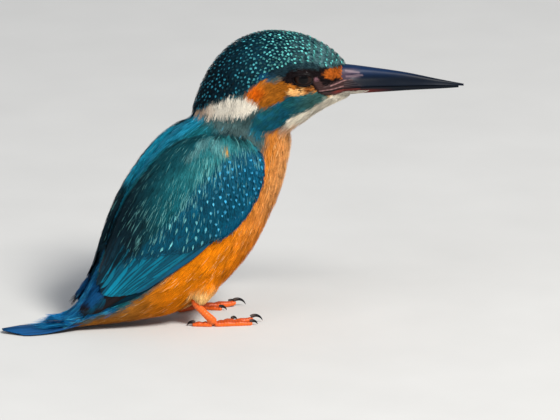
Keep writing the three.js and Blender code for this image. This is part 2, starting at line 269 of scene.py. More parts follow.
# The middle line of neck, trunk and tail coverts, seen from the side, as (x, z).
MIDLINE = np.array([(14.5, 69), (12, 60), (6.1, 50), (-4.2, 33.3), (-15.6, 17.3), (-29.6, 7), (-50, 2)])


def along_midline(points):
    """How far along the middle line a point lies, the way the line runs there, and how far the point is
    on the back's side of it."""
    flat = points[:, [0, 2]]
    starts, steps = MIDLINE[:-1], np.diff(MIDLINE, axis=0)
    lengths = np.linalg.norm(steps, axis=1)
    ways = steps / lengths[:, None]
    at_corners = unit(np.vstack([ways[:1], ways[1:] + ways[:-1], ways[-1:]]))
    share = np.einsum("psk,sk->ps", flat[:, None] - starts, ways) / lengths
    held = np.clip(share, 0, 1)
    off = np.linalg.norm(flat[:, None] - starts - held[..., None] * steps, axis=2)
    best = off.argmin(axis=1)
    rows = np.arange(len(points))
    t = held[rows, best]
    way = unit(at_corners[best] * (1 - t)[:, None] + at_corners[best + 1] * t[:, None])
    distance = np.concatenate([[0], np.cumsum(lengths)])[best] + t * lengths[best]
    away = flat - starts[best] - t[:, None] * steps[best]
    return distance, way, away[:, 0] * way[:, 1] - away[:, 1] * way[:, 0]


def within(x, y, outline, soft=0.5):
    """1 inside an outline in a plane and 0 outside, with an edge as wide as soft."""
    corners = np.array(outline, float)
    ends = np.roll(corners, -1, axis=0)
    p = np.stack([x, y], axis=-1)[:, None]
    run = ends - corners
    share = np.clip(((p - corners) * run).sum(-1) / (run * run).sum(-1), 0, 1)
    distance = np.linalg.norm(p - corners - share[..., None] * run, axis=-1).min(axis=1)
    above_start, above_end = corners[:, 1] > y[:, None], ends[:, 1] > y[:, None]
    rise = np.where(run[:, 1] == 0, 1e-9, run[:, 1])
    crossing = corners[:, 0] + (y[:, None] - corners[:, 1]) / rise * run[:, 0]
    inside = ((above_start != above_end) & (x[:, None] < crossing)).sum(axis=1) % 2 == 1
    return smooth(-soft / 2, soft / 2, np.where(inside, distance, -distance))


def bend(x, stops):
    """A value that follows stops, given as (x, value) with x rising or falling all the way."""
    places = np.array(sorted(stops), float)
    return np.interp(x, places[:, 0], places[:, 1])


# ------------------------------------------------------------------ colours and markings

CROWN, CROWN_BAR, NAPE = paint(4, 42, 56), paint(98, 142, 144), paint(6, 24, 34)
CROWN_SPOT, NAPE_SPOT = paint(104, 204, 200), paint(46, 136, 158)
BROW, EAR_BLUE = paint(20, 40, 48), paint(14, 74, 112)
LORE = paint(24, 18, 20)
LORAL_ORANGE = paint(184, 94, 30)
EAR_ORANGE, EAR_DEEP = paint(152, 88, 20), paint(190, 82, 4)
CREAM_STRIP, EYE_BROWN = paint(235, 178, 110), paint(150, 84, 34)
WHITE, WHITE_REAR = paint(224, 216, 200), paint(176, 136, 104)
THROAT = paint(238, 228, 208)
MALAR, MALAR_FRONT, MALAR_SPOT = paint(24, 88, 96), paint(62, 104, 100), paint(12, 92, 132)
NECK_SIDE = paint(62, 86, 87)
AZURE = paint(18, 124, 152)
# The rump's second colour is its azure darkened, a painted shade where it shows behind the folded wing.
RUMP, RUMP_IN_SHADE = paint(12, 104, 160), paint(8, 66, 110)
BREAST, BELLY = paint(208, 124, 40), paint(226, 128, 8)
# A paler cream for the breast's front edge: partly its paler feather tips and partly a painted highlight.
BREAST_PALE_TIPS_AND_HIGHLIGHT = paint(244, 204, 146)
VENT = paint(170, 106, 34)
THIGH = paint(250, 198, 124)
# The second colour is a painted glint, where light catches single barbs of the scapulars.
SCAPULAR, SCAPULAR_GLINT = paint(16, 92, 102), paint(104, 168, 166)
COVERT, COVERT_SPOT = paint(2, 76, 100), paint(54, 156, 200)

CROWN_EDGE = [
    (13.6, 2.2), (6.8, 2.8), (-1.1, 3.4), (-4.3, 2.7), (-7.5, 1.1), (-11.1, 0.7), (-14.3, -0.6),
    (-17, -3.2), (-19.3, -5.3), (-24.9, -6.7), (-30.2, -9.4), (-33.6, -12.3),
]
LORE_PATCH = [(-7.4, 2.6), (-6.6, -1.0), (-2.5, -2.6), (5.4, -3.2), (9, -5.0), (20, -6.0), (20, 2.8),
              (5.2, 3.4), (-1.1, 3.8)]
LORAL_SPOT = [(5.9, 1.4), (6.6, -0.3), (8.6, -1.0), (12.6, -1.2), (13.2, 0.6), (12.4, 1.7), (9, 2.4),
              (6.8, 2.2)]
EYE_STRIP = [(-5.5, -2.9), (-2.5, -3.0), (0.2, -3.3), (0.6, -4.9), (-2.5, -5.3), (-5.5, -5.2)]
EYE_LINE = [(-0.2, -3.2), (6.2, -3.1), (6.2, -4.0), (-0.2, -4.3)]
BROW_PATCH = [(-11.5, 1.3), (-7.5, 0.5), (-4.5, 1.6), (4.5, 2.6), (6.5, 3.0), (3.5, 5.2), (-3, 5.0),
              (-9, 3.6)]
EAR_TOP = [(-14.8, 0.9), (-12, 1.6), (-10.2, 0.9), (-11.5, -0.4), (-14.2, -0.8)]
EAR = [(-19.2, -5.8), (-17, -3.4), (-15.1, -1.6), (-13, -0.7), (-9.6, -0.7), (-6.5, 0.1), (-4.9, -2.2),
       (-3.1, -3), (-5.4, -5.2), (-7.8, -7.3), (-11.2, -9.1), (-13.1, -9.9), (-15.2, -8.6), (-17.4, -6.8)]
WHITE_PATCH = [(-34.5, -12.6), (-30, -9.8), (-25, -7.2), (-19.4, -6.0), (-15.6, -7.8), (-14.6, -9.2),
               (-15.7, -10.9), (-17.8, -12.2), (-20.7, -13.1), (-25, -13.8), (-29.7, -13.8), (-34.5, -14.2)]
MALAR_STRIPE = [(5.2, -4.4), (-1.1, -4.9), (-5.9, -5.3), (-10.7, -9.5), (-14.3, -10.3), (-17.2, -16.6),
                (-14.2, -19.6), (-9.6, -18.1), (-6.6, -16.3), (-3.4, -13.3), (1.4, -12.2), (5.6, -9.8),
                (7.4, -7.2), (6.6, -5.0)]
THROAT_PATCH = [(20, -5.8), (10.3, -6.3), (6.4, -7.3), (5.0, -9.0), (1.5, -11.2), (-3.4, -12.4),
                (-6.5, -15.4), (-7.5, -20.5), (6, -24), (24, -20)]
# A painted shadow in the hollow between neck and shoulder: its line as (x, z), how wide it is and how
# strongly it shows.
HOLLOW_LINE = [(0.5, 63), (4, 62.6), (9.5, 60.2)]
HOLLOW_SHADOW, HOLLOW_REACH, HOLLOW_SHARE = paint(14, 30, 36), 1.3, 0.85
# How far on the back's side of the middle line the orange ends, along that line, and how soft its edge is.
ORANGE_EDGE = [(0, -3), (6, -4.6), (16, -5.2), (24, -3.0), (40, -1), (60, 1.2), (72, 0.4), (90, -1.6)]
ORANGE_SOFT = [(0, 2.0), (16, 2.4), (26, 1.0)]
# Where the azure down the back begins and ends, as (z, y).
AZURE_NEAR = [(10, -9), (15, -6), (20, 1.6), (40, 2.2), (50, 0.2), (55, -0.8), (58, -2.6), (62, -5),
              (66, -6)]
AZURE_FAR = [(12, 9.0), (25, 5.0), (40, 6.0), (55, 7.6), (66, 8.5)]


def blended(colours, colour, share):
    """colours, or one colour, part of the way towards another."""
    return colours + (colour - colours) * share[:, None]


def layered(colours, *layers):
    """Colours with layers laid over them in turn, each a colour and how far it covers."""
    for colour, share in layers:
        colours = blended(colours, colour, share)
    return colours


def line_in_head(forward, above, line, reach):
    """1 on a line given as (forward, above) corners, and 0 further than reach from it."""
    return near_line(np.stack([forward, forward, above], axis=-1), line, reach)


def near_line(points, line, reach):
    """1 on a line seen from the side, as (x, z) corners, and 0 further than reach from it."""
    gap = np.full(len(points), 1e9)
    for start, end in zip(np.array(line[:-1], float), np.array(line[1:], float)):
        run = end - start
        share = np.clip((points[:, [0, 2]] - start) @ run / (run @ run), 0, 1)
        gap = np.minimum(gap, np.linalg.norm(points[:, [0, 2]] - start - share[:, None] * run, axis=1))
    return smooth(reach, reach * 0.35, gap)


def azure_band(y, z):
    """Where the azure shows down the back: the right wing's feathers overlap it lower down."""
    near, far = bend(z, AZURE_NEAR), bend(z, AZURE_FAR)
    return smooth(near - 0.6, near + 0.6, y) * smooth(far + 0.6, far - 0.6, y)


def patchy(points, scale, soft):
    """Soft random patches, from 0 to 1."""
    found = [noise.noise(Vector(p)) for p in (points * scale).tolist()]
    return smooth(-0.5 * soft, 0.5 * soft, np.array(found))


def coat_colour(points, waver=0.0):
    """The colour of the coat at places on the body. waver moves each place at random before it is
    looked up, so that an edge between two colours is as ragged as feathers make it."""
    moved = points + rng.normal(0, 1, points.shape) * waver
    distance, _, back = along_midline(moved)
    x, y, z = moved.T
    forward, aside, above = in_head(moved)
    aside = np.abs(aside)

    # orange below, from the breast to the vent
    edge = bend(distance, ORANGE_SOFT)
    below = smooth(edge, -edge, back - bend(distance, ORANGE_EDGE))
    # Paler where the breast faces forward above its lower part: partly paler feather tips, partly a painted
    # highlight.
    light = smooth(0.35, 0.9, -unit(np.stack([back, y], axis=-1))[:, 0]) * smooth(20, 45, z)
    orange = layered(BREAST, (BELLY, smooth(50, 30, z)), (VENT, smooth(-14, -26, x)),
                     (BREAST_PALE_TIPS_AND_HIGHLIGHT, 0.30 * light))

    # azure down the back, partly hidden by the right wing, and all of the rump
    upper = (back > 0) * (1 - below)
    azure = blended(AZURE, RUMP, smooth(50, 58, distance))
    # A painted shadow in the hollow between neck and shoulder.
    hollow = near_line(moved, HOLLOW_LINE, HOLLOW_REACH) * (np.abs(y) > 9)
    colours = layered(NECK_SIDE, (orange, below), (SCAPULAR, upper * smooth(8, 14, distance)),
                      (azure, azure_band(y, z) * upper), (HOLLOW_SHADOW, HOLLOW_SHARE * hollow))

    # the head
    def inside(outline, soft=0.5):
        return within(forward, above, outline, soft)

    side = smooth(3.2, 4.6, aside)
    malar = layered(MALAR, (MALAR_FRONT, smooth(-6, 4, forward)),
                    (MALAR_SPOT, 0.45 * patchy(moved, 0.6, 0.25) * smooth(2, -8, forward)))
    rear = np.maximum(smooth(-27, -33, forward), smooth(-12.8, -14.6, above))
    ear = blended(EAR_ORANGE, EAR_DEEP, smooth(4.0, 0.5, np.hypot(forward + 15.2, above + 4.6)))
    reach = from_bill(moved)
    bars = (0.5 + 0.5 * np.cos(2 * math.pi * reach / ROW_GAP)) * smooth(28, 14, reach)
    crown = layered(CROWN, (NAPE, smooth(-14, -30, forward)),
                    (CROWN_BAR, np.maximum(0.85 * bars, 0.30 * smooth(20, 9, reach))),
                    (BROW, 0.85 * inside(BROW_PATCH, 1.4)))
    on_crown = smooth(-0.4, 0.4, above - bend(forward, CROWN_EDGE)) * (forward > -40)
    on_nape = smooth(-15.5, -14, above) * smooth(4.6, 3.4, aside) * (forward < -20)
    colours = layered(
        colours,
        (malar, inside(MALAR_STRIPE) * side),
        (THROAT, inside(THROAT_PATCH, 0.8) * smooth(-21, -15, above)),
        (blended(WHITE, WHITE_REAR, 0.8 * rear), inside(WHITE_PATCH) * side),
        (ear, inside(EAR) * side),
        (CREAM_STRIP, inside(EYE_STRIP, 0.4)),
        (LORE, inside(LORE_PATCH, 0.6)),
        (EYE_BROWN, inside(EYE_LINE, 0.4)),
        (crown, np.maximum(on_crown, on_nape)),
        (EAR_BLUE, 0.6 * inside(EAR_TOP, 1.2) * side),
        (LORAL_ORANGE, inside(LORAL_SPOT, 0.4)),
        (THIGH, on_thigh(moved)),
    )
    return colours * (0.86 + 0.28 * patchy(points, 0.22, 1.0))[:, None]


# ------------------------------------------------------------------ the lie of the coat

BILL_BASE = from_head(14.6, 0, -2.5)
FLOW_START = from_head(19.5, 0, -3.0)  # the head's feathers point away from here
ROW_GAP = 2.0  # between the pale bars across the forehead


def from_bill(points):
    return np.linalg.norm(points - BILL_BASE, axis=1)


def on_thigh(points):
    """1 on the feathers that hang over a shank."""
    x, y, z = points.T
    return smooth(14, 10, z) * (x > -8) * (x < 6) * smooth(4.5, 6.5, np.abs(y))


def laid(headings, normals):
    """Headings brought down to lie on a surface."""
    return unit(headings - normals * (headings * normals).sum(1, keepdims=True))


def lie(points, normals):
    """The way the feathers point: away from the bill on the head, and along the trunk behind it."""
    away = points - FLOW_START
    _, way, _ = along_midline(points)
    along = np.stack([way[:, 0], np.zeros(len(way)), way[:, 1]], axis=-1)
    share = smooth(22, 45, np.linalg.norm(away, axis=1))[:, None]
    heading = unit(away) * (1 - share) + along * share
    heading = heading + (np.array([-0.1, 0, -1]) - heading) * on_thigh(points)[:, None]
    for eye in (right_eye, left_eye):
        toward = eye - points
        gap = np.linalg.norm(toward, axis=1)
        toward = toward / gap[:, None]
        inward = np.maximum((heading * toward).sum(1), 0) * smooth(8, 5, gap)
        heading = heading - toward * inward[:, None]
    return laid(heading, normals)


def turned(headings, normals, angles):
    """Headings turned about the normals."""
    aside = np.cross(normals, headings)
    return headings * np.cos(angles)[:, None] + aside * np.sin(angles)[:, None]


def traced(surface, roots, lengths, flow, steps, stray=0.1):
    """Lines over a surface from the roots: the places, normals and headings of each one's rows."""
    place, normal, _ = surface.nearest(roots)
    angle = rng.normal(0, stray, len(roots))
    rows = []
    for k in range(steps + 1):
        heading = turned(flow(place, normal), normal, angle)
        rows.append((place, normal, heading))
        if k == steps:
            break
        ahead = place + heading * (lengths / steps)[:, None]
        found, face, _ = surface.nearest(ahead)
        round_edge = ((face * normal).sum(1) < 0.55)[:, None]
        place = np.where(round_edge, ahead, found)
        normal = np.where(round_edge, normal, unit(face + normal))
    return [np.stack(parts, axis=1) for parts in zip(*rows)]


def thinned(points, gaps):
    """Which points to keep, in their order, so that each is its own gap away from those before it."""
    cell = float(gaps.max())
    keys = np.floor(points / cell).astype(int)
    around = [(i, j, k) for i in (-1, 0, 1) for j in (-1, 0, 1) for k in (-1, 0, 1)]
    kept, grid = [], {}
    for n, (p, key, gap) in enumerate(zip(points.tolist(), keys.tolist(), gaps.tolist())):
        near = (
            q
            for i, j, k in around
            for q in grid.get((key[0] + i, key[1] + j, key[2] + k), ())
        )
        if all((p[0] - q[0]) ** 2 + (p[1] - q[1]) ** 2 + (p[2] - q[2]) ** 2 > gap * gap for q in near):
            kept.append(n)
            grid.setdefault(tuple(key), []).append(p)
    return np.array(kept, int)


TRIAL_COUNT, MOST_PLACES = 4000, 600000  # random places to judge an area by, and to choose roots from


def evenly(gap):
    return lambda points: np.full(len(points), gap)


def scattered(surface, gap_of, where, crowd):
    """Roots over the part of a surface where where() says, gap_of() apart. crowd is how many places are
    tried for each root."""
    trial, _ = surface.sample(TRIAL_COUNT)
    inside = where(trial)
    gaps = gap_of(trial[inside])
    wanted = surface.area.sum() * inside.mean() * 0.7 * (1 / gaps**2).mean()
    points, _ = surface.sample(int(min(crowd * wanted / max(inside.mean(), 0.01), MOST_PLACES)))
    points = points[where(points)]
    kept = thinned(points, gap_of(points) * rng.uniform(0.85, 1.1, len(points)))
    return points[kept]


# ------------------------------------------------------------------ tufts

class Tuft:
    """A pattern for one tuft or vane: for each point how far along it is, how far aside in half widths,
    how far it is lifted, and which strand it is on. Faces are lists of point numbers."""

    def __init__(self):
        self.along, self.aside, self.lift, self.strand, self.faces = [], [], [], [], []

    def point(self, along, aside, lift=0.0, strand=0):
        self.along.append(along)
        self.aside.append(aside)
        self.lift.append(lift)
        self.strand.append(strand)
        return len(self.along) - 1

    def arrays(self):
        return [np.array(x, float) for x in (self.along, self.aside, self.lift)] + [np.array(self.strand)]


def vane(rows, columns, notch, narrow, camber, rounding):
    """A feather's visible vane: a cambered sheet with a round, notched end."""
    tuft = Tuft()
    for i in range(rows + 1):
        s = i / rows
        width = narrow + (1 - narrow) * math.sin(min(s / 0.55, 1) * math.pi / 2)
        width *= math.sqrt(1 - 0.72 * max(0, (s - 0.5) / 0.5) ** 2)
        for j in range(columns + 1):
            u = 2 * j / columns - 1
            tooth = notch * (j % 2) * s**2
            along = s * (1 - rounding * u * u * s) - tooth
            tuft.point(along, u * width, -camber * u * u, j)
    across = columns + 1
    for i in range(rows):
        for j in range(columns):
            a = i * across + j
            tuft.faces.append((a, a + 1, a + across + 1, a + across))
    return tuft


def lock(strands, rows, half, fan, camber=0.15):
    """A lock of fine tapering barbs that part towards their tips."""
    tuft = Tuft()
    for k in range(strands):
        u = 2 * k / (strands - 1) - 1
        left, right = [], []
        for i in range(rows):
            s = i / rows
            middle = u * (fan + (1 - fan) * min(s / 0.7, 1) ** 0.8)
            edge = half * (1 - s) ** 0.45
            lift = -camber * u * u + 0.05 * (k % 2)
            left.append(tuft.point(s, middle - edge, lift, k))
            right.append(tuft.point(s, middle + edge, lift, k))
        tip = tuft.point(1.0, u * 1.05, -camber * u * u, k)
        for i in range(rows - 1):
            tuft.faces.append((left[i], right[i], right[i + 1], left[i + 1]))
        tuft.faces.append((left[-1], right[-1], tip))
    return tuft


class Plumage:
    """Tufts and vanes gathered for one piece."""

    def __init__(self):
        self.points, self.faces, self.colours, self.vanes, self.patches = [], [], [], [], []
        self.count = 0

    def add(self, points, faces, colours, vanes, patches):
        """points is (tufts, points of the pattern, 3), and so on for what goes with each point."""
        tufts, size = points.shape[:2]
        starts = self.count + np.arange(tufts) * size
        for corners in (3, 4):
            block = np.array([f for f in faces if len(f) == corners], int)
            if len(block):
                self.faces.append((block[None] + starts[:, None, None]).reshape(-1, corners))
        self.points.append(points.reshape(-1, 3))
        self.colours.append(colours.reshape(-1, 3))
        self.vanes.append(vanes.reshape(-1, 3))
        self.patches.append(patches.reshape(-1, 2))
        self.count += tufts * size


FLOOR_GAP = 0.05  # feathers stay this far above the floor
PATCH = 0.0034  # how wide a tuft's patch is in OFBake
# Streaked strands are painted highlights where light catches single strands; down the breast's front edge
# they are also paler tips.
STREAK_STRENGTH = 0.6  # how far a streaked strand goes to the streak's colour
# How much tufts differ at random: strands aside, whole tufts aside and rolled, and their heights in mm.
STRAND_SHIFT, SWAY, ROLL = 0.10, 0.12, 0.08
TUFT_LIFT, STRAND_LIFT = 0.05, 0.035


def between(rows, along):
    """Values at places along traced lines: rows is (lines, rows, 3) and along is (lines, points)."""
    steps = rows.shape[1] - 1
    place = np.clip(along, 0, 1) * steps
    low = np.minimum(place.astype(int), steps - 1)
    share = (place - low)[..., None]
    lines = np.arange(len(rows))[:, None]
    return rows[lines, low] * (1 - share) + rows[lines, low + 1] * share


def grow(plumage, tuft, lines, length, width, colours, patches, depth, lift=0.0, ragged=0.12, fleck=0.12,
         root_shade=0.45, streak=None, streaks=0.0):
    """Puts a tuft along each traced line. length and width are in mm, and depth is how far under the
    surface the roots lie. Strands differ at random in length, height and shade."""
    places, normals, headings = lines
    count = len(places)
    along, aside, raised, strand = tuft.arrays()
    strands = int(strand.max()) + 1
    along = along[None] * (1 + rng.normal(0, ragged, (count, strands))[:, strand])
    over = np.maximum(along - 1, 0)[..., None] * np.broadcast_to(length, count)[:, None, None]
    spine = between(places, along) + headings[:, -1:] * over
    up = between(normals, along)
    side = unit(np.cross(up, between(headings, along)))
    half = np.broadcast_to(width, count)[:, None] / 2
    shift = rng.normal(0, STRAND_SHIFT, (count, strands))[:, strand] * along
    sway = rng.normal(0, SWAY, (count, 1)) * along**2
    across = (aside[None] + shift + sway) * half
    roll = rng.normal(0, ROLL, (count, 1))
    rest = np.clip(1 - along, 0, 1)
    height = -depth * rest**1.3 + raised[None] * half * 2 + roll * across
    height += lift + rng.normal(0, TUFT_LIFT, (count, 1))
    height += rng.normal(0, STRAND_LIFT, (count, strands))[:, strand]
    points = spine + side * across[..., None] + up * height[..., None]
    points[..., 2] = np.maximum(points[..., 2], FLOOR_GAP)
    shade = 1 + rng.normal(0, fleck, (count, 1)) + rng.normal(0, fleck, (count, strands))[:, strand]
    # Each tuft darkens towards its root: painted shade where the tufts lie over one another.
    shade *= 1 - root_shade * rest**1.5
    painted = colours[:, None, :] * np.clip(shade, 0.15, 1.8)[..., None]
    # Painted highlights: some strands go paler towards their tips.
    if streak is not None:
        chance = np.broadcast_to(streaks, count)[:, None]
        lit = (rng.random((count, strands)) < chance)[:, strand] * smooth(0.2, 0.6, along)
        painted = painted + (streak - painted) * (lit * STREAK_STRENGTH)[..., None]
    kinds = np.broadcast_to(rng.random((count, 1)), along.shape)
    vanes = np.stack([np.broadcast_to(aside, along.shape), along, kinds], axis=-1)
    patch = np.stack([aside / 2, np.clip(tuft.along, 0, 1) - 0.5], axis=-1) * PATCH
    plumage.add(points, tuft.faces, painted, vanes, patches[:, None, :] + patch[None])


# ------------------------------------------------------------------ pieces

def unwrapped(points, kind):
    """Where places on the skin lie when it is cut down one side and laid flat: round it, and along it."""
    if kind == "head":
        forward, aside, above = in_head(points)
        return np.stack([np.arctan2(aside, above + 6), -forward], axis=-1)
    distance, _, back = along_midline(points)
    return np.stack([np.arctan2(points[:, 1], back), distance], axis=-1)


def fitted(flat):
    """Flat places brought into the unit square of OFBake, clear of its edge."""
    low, high = flat.min(axis=0), flat.max(axis=0)
    return 0.01 + 0.98 * (flat - low) / (high - low)


def to_row(points):
    """Places in the bird's frame as places in the CAD's frame, in metres."""
    return (points + ORIGIN) * MM


def piece_from(name, points, faces, material, stands_for=(), colours=None, vanes=None, bake=None):
    """A piece of the model from arrays in the bird's frame."""
    mesh = bpy.data.meshes.new(name)
    sizes = np.concatenate([np.full(len(block), block.shape[1]) for block in faces])
    corners = np.concatenate([block.ravel() for block in faces])
    mesh.vertices.add(len(points))
    mesh.vertices.foreach_set("co", to_row(points).astype(np.float32).ravel())
    mesh.loops.add(len(corners))
    mesh.loops.foreach_set("vertex_index", corners.astype(np.int32))
    mesh.polygons.add(len(sizes))
    mesh.polygons.foreach_set("loop_start", np.concatenate([[0], np.cumsum(sizes)[:-1]]).astype(np.int32))
    mesh.polygons.foreach_set("loop_total", sizes.astype(np.int32))
    mesh.polygons.foreach_set("use_smooth", np.ones(len(sizes), bool))
    if colours is not None:
        tint = mesh.attributes.new("tint", "FLOAT_COLOR", "POINT")
        tint.data.foreach_set("color", np.c_[colours, np.ones(len(colours))].astype(np.float32).ravel())
    if vanes is not None:
        held = mesh.attributes.new("vane", "FLOAT_VECTOR", "POINT")
        held.data.foreach_set("vector", vanes.astype(np.float32).ravel())
    if bake is not None:
        layer = mesh.uv_layers.new(name="OFBake")
        layer.data.foreach_set("uv", bake[corners].astype(np.float32).ravel())
    mesh.update()
    mesh.validate()
    mesh.materials.append(material)
    piece = bpy.data.objects.new(name, mesh)
    bpy.context.scene.collection.objects.link(piece)
    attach(piece, "root")
    if stands_for:
        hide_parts(*stands_for)


def coat_piece(name, plumage, material, stands_for=()):
    colours = np.clip(np.concatenate(plumage.colours), 0.001, 1)
    piece_from(name, np.concatenate(plumage.points), plumage.faces, material, stands_for, colours,
               np.concatenate(plumage.vanes), np.concatenate(plumage.patches))


# ------------------------------------------------------------------ materials

class Nodes:
    """A material's node tree, with short calls for the nodes used here."""

    def __init__(self, name):
        self.material = bpy.data.materials.new(name)
        self.material.use_nodes = True
        self.tree = self.material.node_tree
        self.shader = self.tree.nodes["Principled BSDF"]

    def add(self, kind, inputs=(), **settings):
        node = self.tree.nodes.new(kind)
        for key, value in settings.items():
            setattr(node, key, value)
        for key, value in dict(inputs).items():
            if isinstance(value, bpy.types.NodeSocket):
                self.tree.links.new(value, node.inputs[key])
            else:
                node.inputs[key].default_value = value
        return node

    def attribute(self, name):
        return self.add("ShaderNodeAttribute", attribute_name=name)

    def maths(self, operation, *values):
        return self.add("ShaderNodeMath", dict(enumerate(values)), operation=operation).outputs[0]

    def noise(self, scale, detail):
        place = self.add("ShaderNodeTexCoord").outputs["Object"]
        given = {"Scale": scale, "Detail": detail, "Vector": place}
        return self.add("ShaderNodeTexNoise", given).outputs["Fac"]

    def ranged(self, value, low, high):
        return self.add("ShaderNodeMapRange", {0: value, 3: low, 4: high}).outputs[0]

    def tinted(self, amount):
        """The piece's own colour made lighter or darker by a number."""
        colour = self.attribute("tint").outputs["Color"]
        return self.add("ShaderNodeVectorMath", {0: colour, "Scale": amount}, operation="SCALE").outputs[0]

    def finish(self, colour, roughness, bump=None, strength=0.0, depth=0.0, **fixed):
        link = self.tree.links.new
        link(colour, self.shader.inputs["Base Color"])
        link(roughness, self.shader.inputs["Roughness"])
        if bump is not None:
            node = self.add("ShaderNodeBump", {"Height": bump, "Strength": strength, "Distance": depth})
            link(node.outputs[0], self.shader.inputs["Normal"])
        for key, value in fixed.items():
            self.shader.inputs[key.replace("_", " ")].default_value = value
        return self.material


def feather_material(name, barbs, dull, gloss, contrast):
    """Feather vanes: barbs run out and forward from the shaft, and the colour is the coat's own."""
    n = Nodes(name)
    held = n.add("ShaderNodeSeparateXYZ", {0: n.attribute("vane").outputs["Vector"]})
    aside, along, kind = held.outputs
    slant = n.maths("ADD", along, n.maths("MULTIPLY", n.maths("ABSOLUTE", aside), -0.35))
    wave = n.maths("SINE", n.maths("MULTIPLY", n.maths("ADD", slant, kind), barbs * 2 * math.pi))
    grain = n.noise(2600.0, 2.0)
    mottle = n.noise(420.0, 3.0)
    pattern = n.maths("ADD", n.maths("MULTIPLY", wave, 0.25), grain)
    light = n.ranged(pattern, 1 - contrast, 1 + contrast)
    light = n.maths("MULTIPLY", light, n.ranged(mottle, 0.86, 1.14))
    roughness = n.ranged(grain, dull - 0.12, dull + 0.12)
    return n.finish(n.tinted(light), roughness, pattern, 0.35, 0.00006, Specular_IOR_Level=gloss)


def grained_material(name, scale, light, roughness, bump=(), **fixed):
    """The piece's own colour, with a fine grain in its light and roughness, and in its height if bump says
    how strong and how deep."""
    n = Nodes(name)
    fine = n.noise(scale, 4.0)
    height = (fine, *bump) if bump else ()
    return n.finish(n.tinted(n.ranged(fine, *light)), n.ranged(fine, *roughness), *height, **fixed)


def horn_material(name):
    """Horn, with a fine grain and a soft shine."""
    n = Nodes(name)
    grain = n.noise(900.0, 4.0)
    roughness = n.ranged(n.noise(140.0, 2.0), 0.32, 0.48)
    return n.finish(n.tinted(n.ranged(grain, 0.75, 1.25)), roughness, grain, 0.25, 0.00005,
                    Specular_IOR_Level=0.11)


def leg_material():
    n = Nodes("leg_skin")
    fine = n.noise(2200.0, 4.0)
    light = n.maths("MULTIPLY", n.ranged(fine, 0.8, 1.2), n.ranged(n.noise(300.0, 2.0), 0.8, 1.2))
    return n.finish(n.tinted(light), n.ranged(fine, 0.34, 0.52), fine, 0.35, 0.00008,
                    Specular_IOR_Level=0.30)


# The skin under the coat takes the coat's colour darkened, a painted shade under the feathers, with a fine
# grain.
down = grained_material("down", 1500.0, (0.45, 0.85), (0.7, 0.9), (0.5, 0.0002), Specular_IOR_Level=0.05)
eye_gloss = grained_material("eye", 2400.0, (0.6, 1.5), (0.10, 0.14), Specular_IOR_Level=0.08,
                             Coat_Weight=0.12, Coat_Roughness=0.02)
lid_skin = grained_material("lid", 3000.0, (0.6, 1.35), (0.45, 0.65), (0.5, 0.0001),
                            Specular_IOR_Level=0.12)
leg_skin, bill_horn, claw_horn = leg_material(), horn_material("horn"), horn_material("claw_horn")
soft_feather = feather_material("soft_feather", 10.0, 0.72, 0.06, 0.26)
blue_feather = feather_material("blue_feather", 14.0, 0.58, 0.08, 0.30)
quill_feather = feather_material("quill_feather", 70.0, 0.50, 0.10, 0.22)

# ------------------------------------------------------------------ skin

COAT_DEPTH = 0.9
SKIN_END = FACE_END - 0.2  # the skin goes on into the bill, and is left open this far forward


def skin_depth(points):
    """Less over the eyes, so that the skin meets the lids, and more in the bill."""
    forward, aside, above = in_head(points)
    near_eye = smooth(7, 3.5, np.hypot(forward, above)) * (np.abs(aside) > 5)
    return COAT_DEPTH * (1 - 0.25 * near_eye + 0.5 * smooth(12, 14, forward))


def gap_to_wings(points):
    return np.minimum(*(wing.nearest(points)[2] for wing in wings.values()))


def make_skin():
    under = whole.moved(-skin_depth(whole.points)).points
    above_tail = np.maximum(under[:, 2] - tail_top(under[:, 0]), 0)
    under[:, 2] -= above_tail * smooth(-40, -46, under[:, 0])
    bake = fitted(unwrapped(whole.points, "body"))
    colours = coat_colour(whole.points)
    # Skin near a wing takes the wing's colour, darker still as painted shade under the wing.
    near_wing = gap_to_wings(whole.points) < 0.5
    colours[near_wing] = wing_colour(whole.points[near_wing]) * 0.6
    forward, _, above = in_head(whole.points)
    bare = np.maximum(smooth(5.6, 4.8, np.hypot(forward - 0.6, above)),
                      smooth(12.0, 13.0, forward) * smooth(-6.4, -5.4, above))
    colours = blended(colours, LORE, bare)
    kept = whole.quads[forward[whole.quads].max(axis=1) < SKIN_END]
    used, quads = np.unique(kept, return_inverse=True)
    piece_from("skin", under[used], [quads.reshape(-1, 4)], down, FLESH + WINGS,
               colours[used], None, bake[used])


# ------------------------------------------------------------------ the coat

# The opening between the lids, and the bare skin between eye and bill, as (forward, above).
EYE_OPENING = [(-3.5, -0.5), (-2.4, 0.7), (-0.5, 1.35), (1.5, 1.2), (3.0, 0.6), (4.9, 0.7), (5.6, -0.6),
               (5.4, -2.2), (3.2, -2.3), (0.8, -2.5), (-1.6, -2.3), (-2.9, -1.5)]
GAPE = [(2.8, -1.6), (2.9, -0.5), (3.5, 0.5), (4.7, 0.5), (5.4, -0.8), (6.4, -2.9), (8.8, -2.6),
        (12.5, -1.9), (15.5, -2.0), (18, -3.5), (20, -4.8), (18, -5.7), (14.5, -6.5), (10.5, -6.4),
        (7.3, -6.3), (5.6, -5.4), (4.6, -4.5), (3.4, -2.6)]
# How far forward the feathers reach round the bill, as (above, forward).
FEATHER_END = [(-9.0, 15.2), (-7.6, 14.6), (-6.6, 13.0), (-1.2, 13.0), (1.8, 13.4), (2.6, 14.4)]
FACE_LOCK = lock(5, 4, 0.17, 0.35)
BODY_LOCK = lock(6, 5, 0.13, 0.3)
DOT = vane(4, 4, 0.03, 0.62, 0.10, 0.42)
DOT_TRIALS, DOT_LENGTH = 340000, 0.85
TRUNK_GAP, TRUNK_WIDTH = 0.82, 1.75
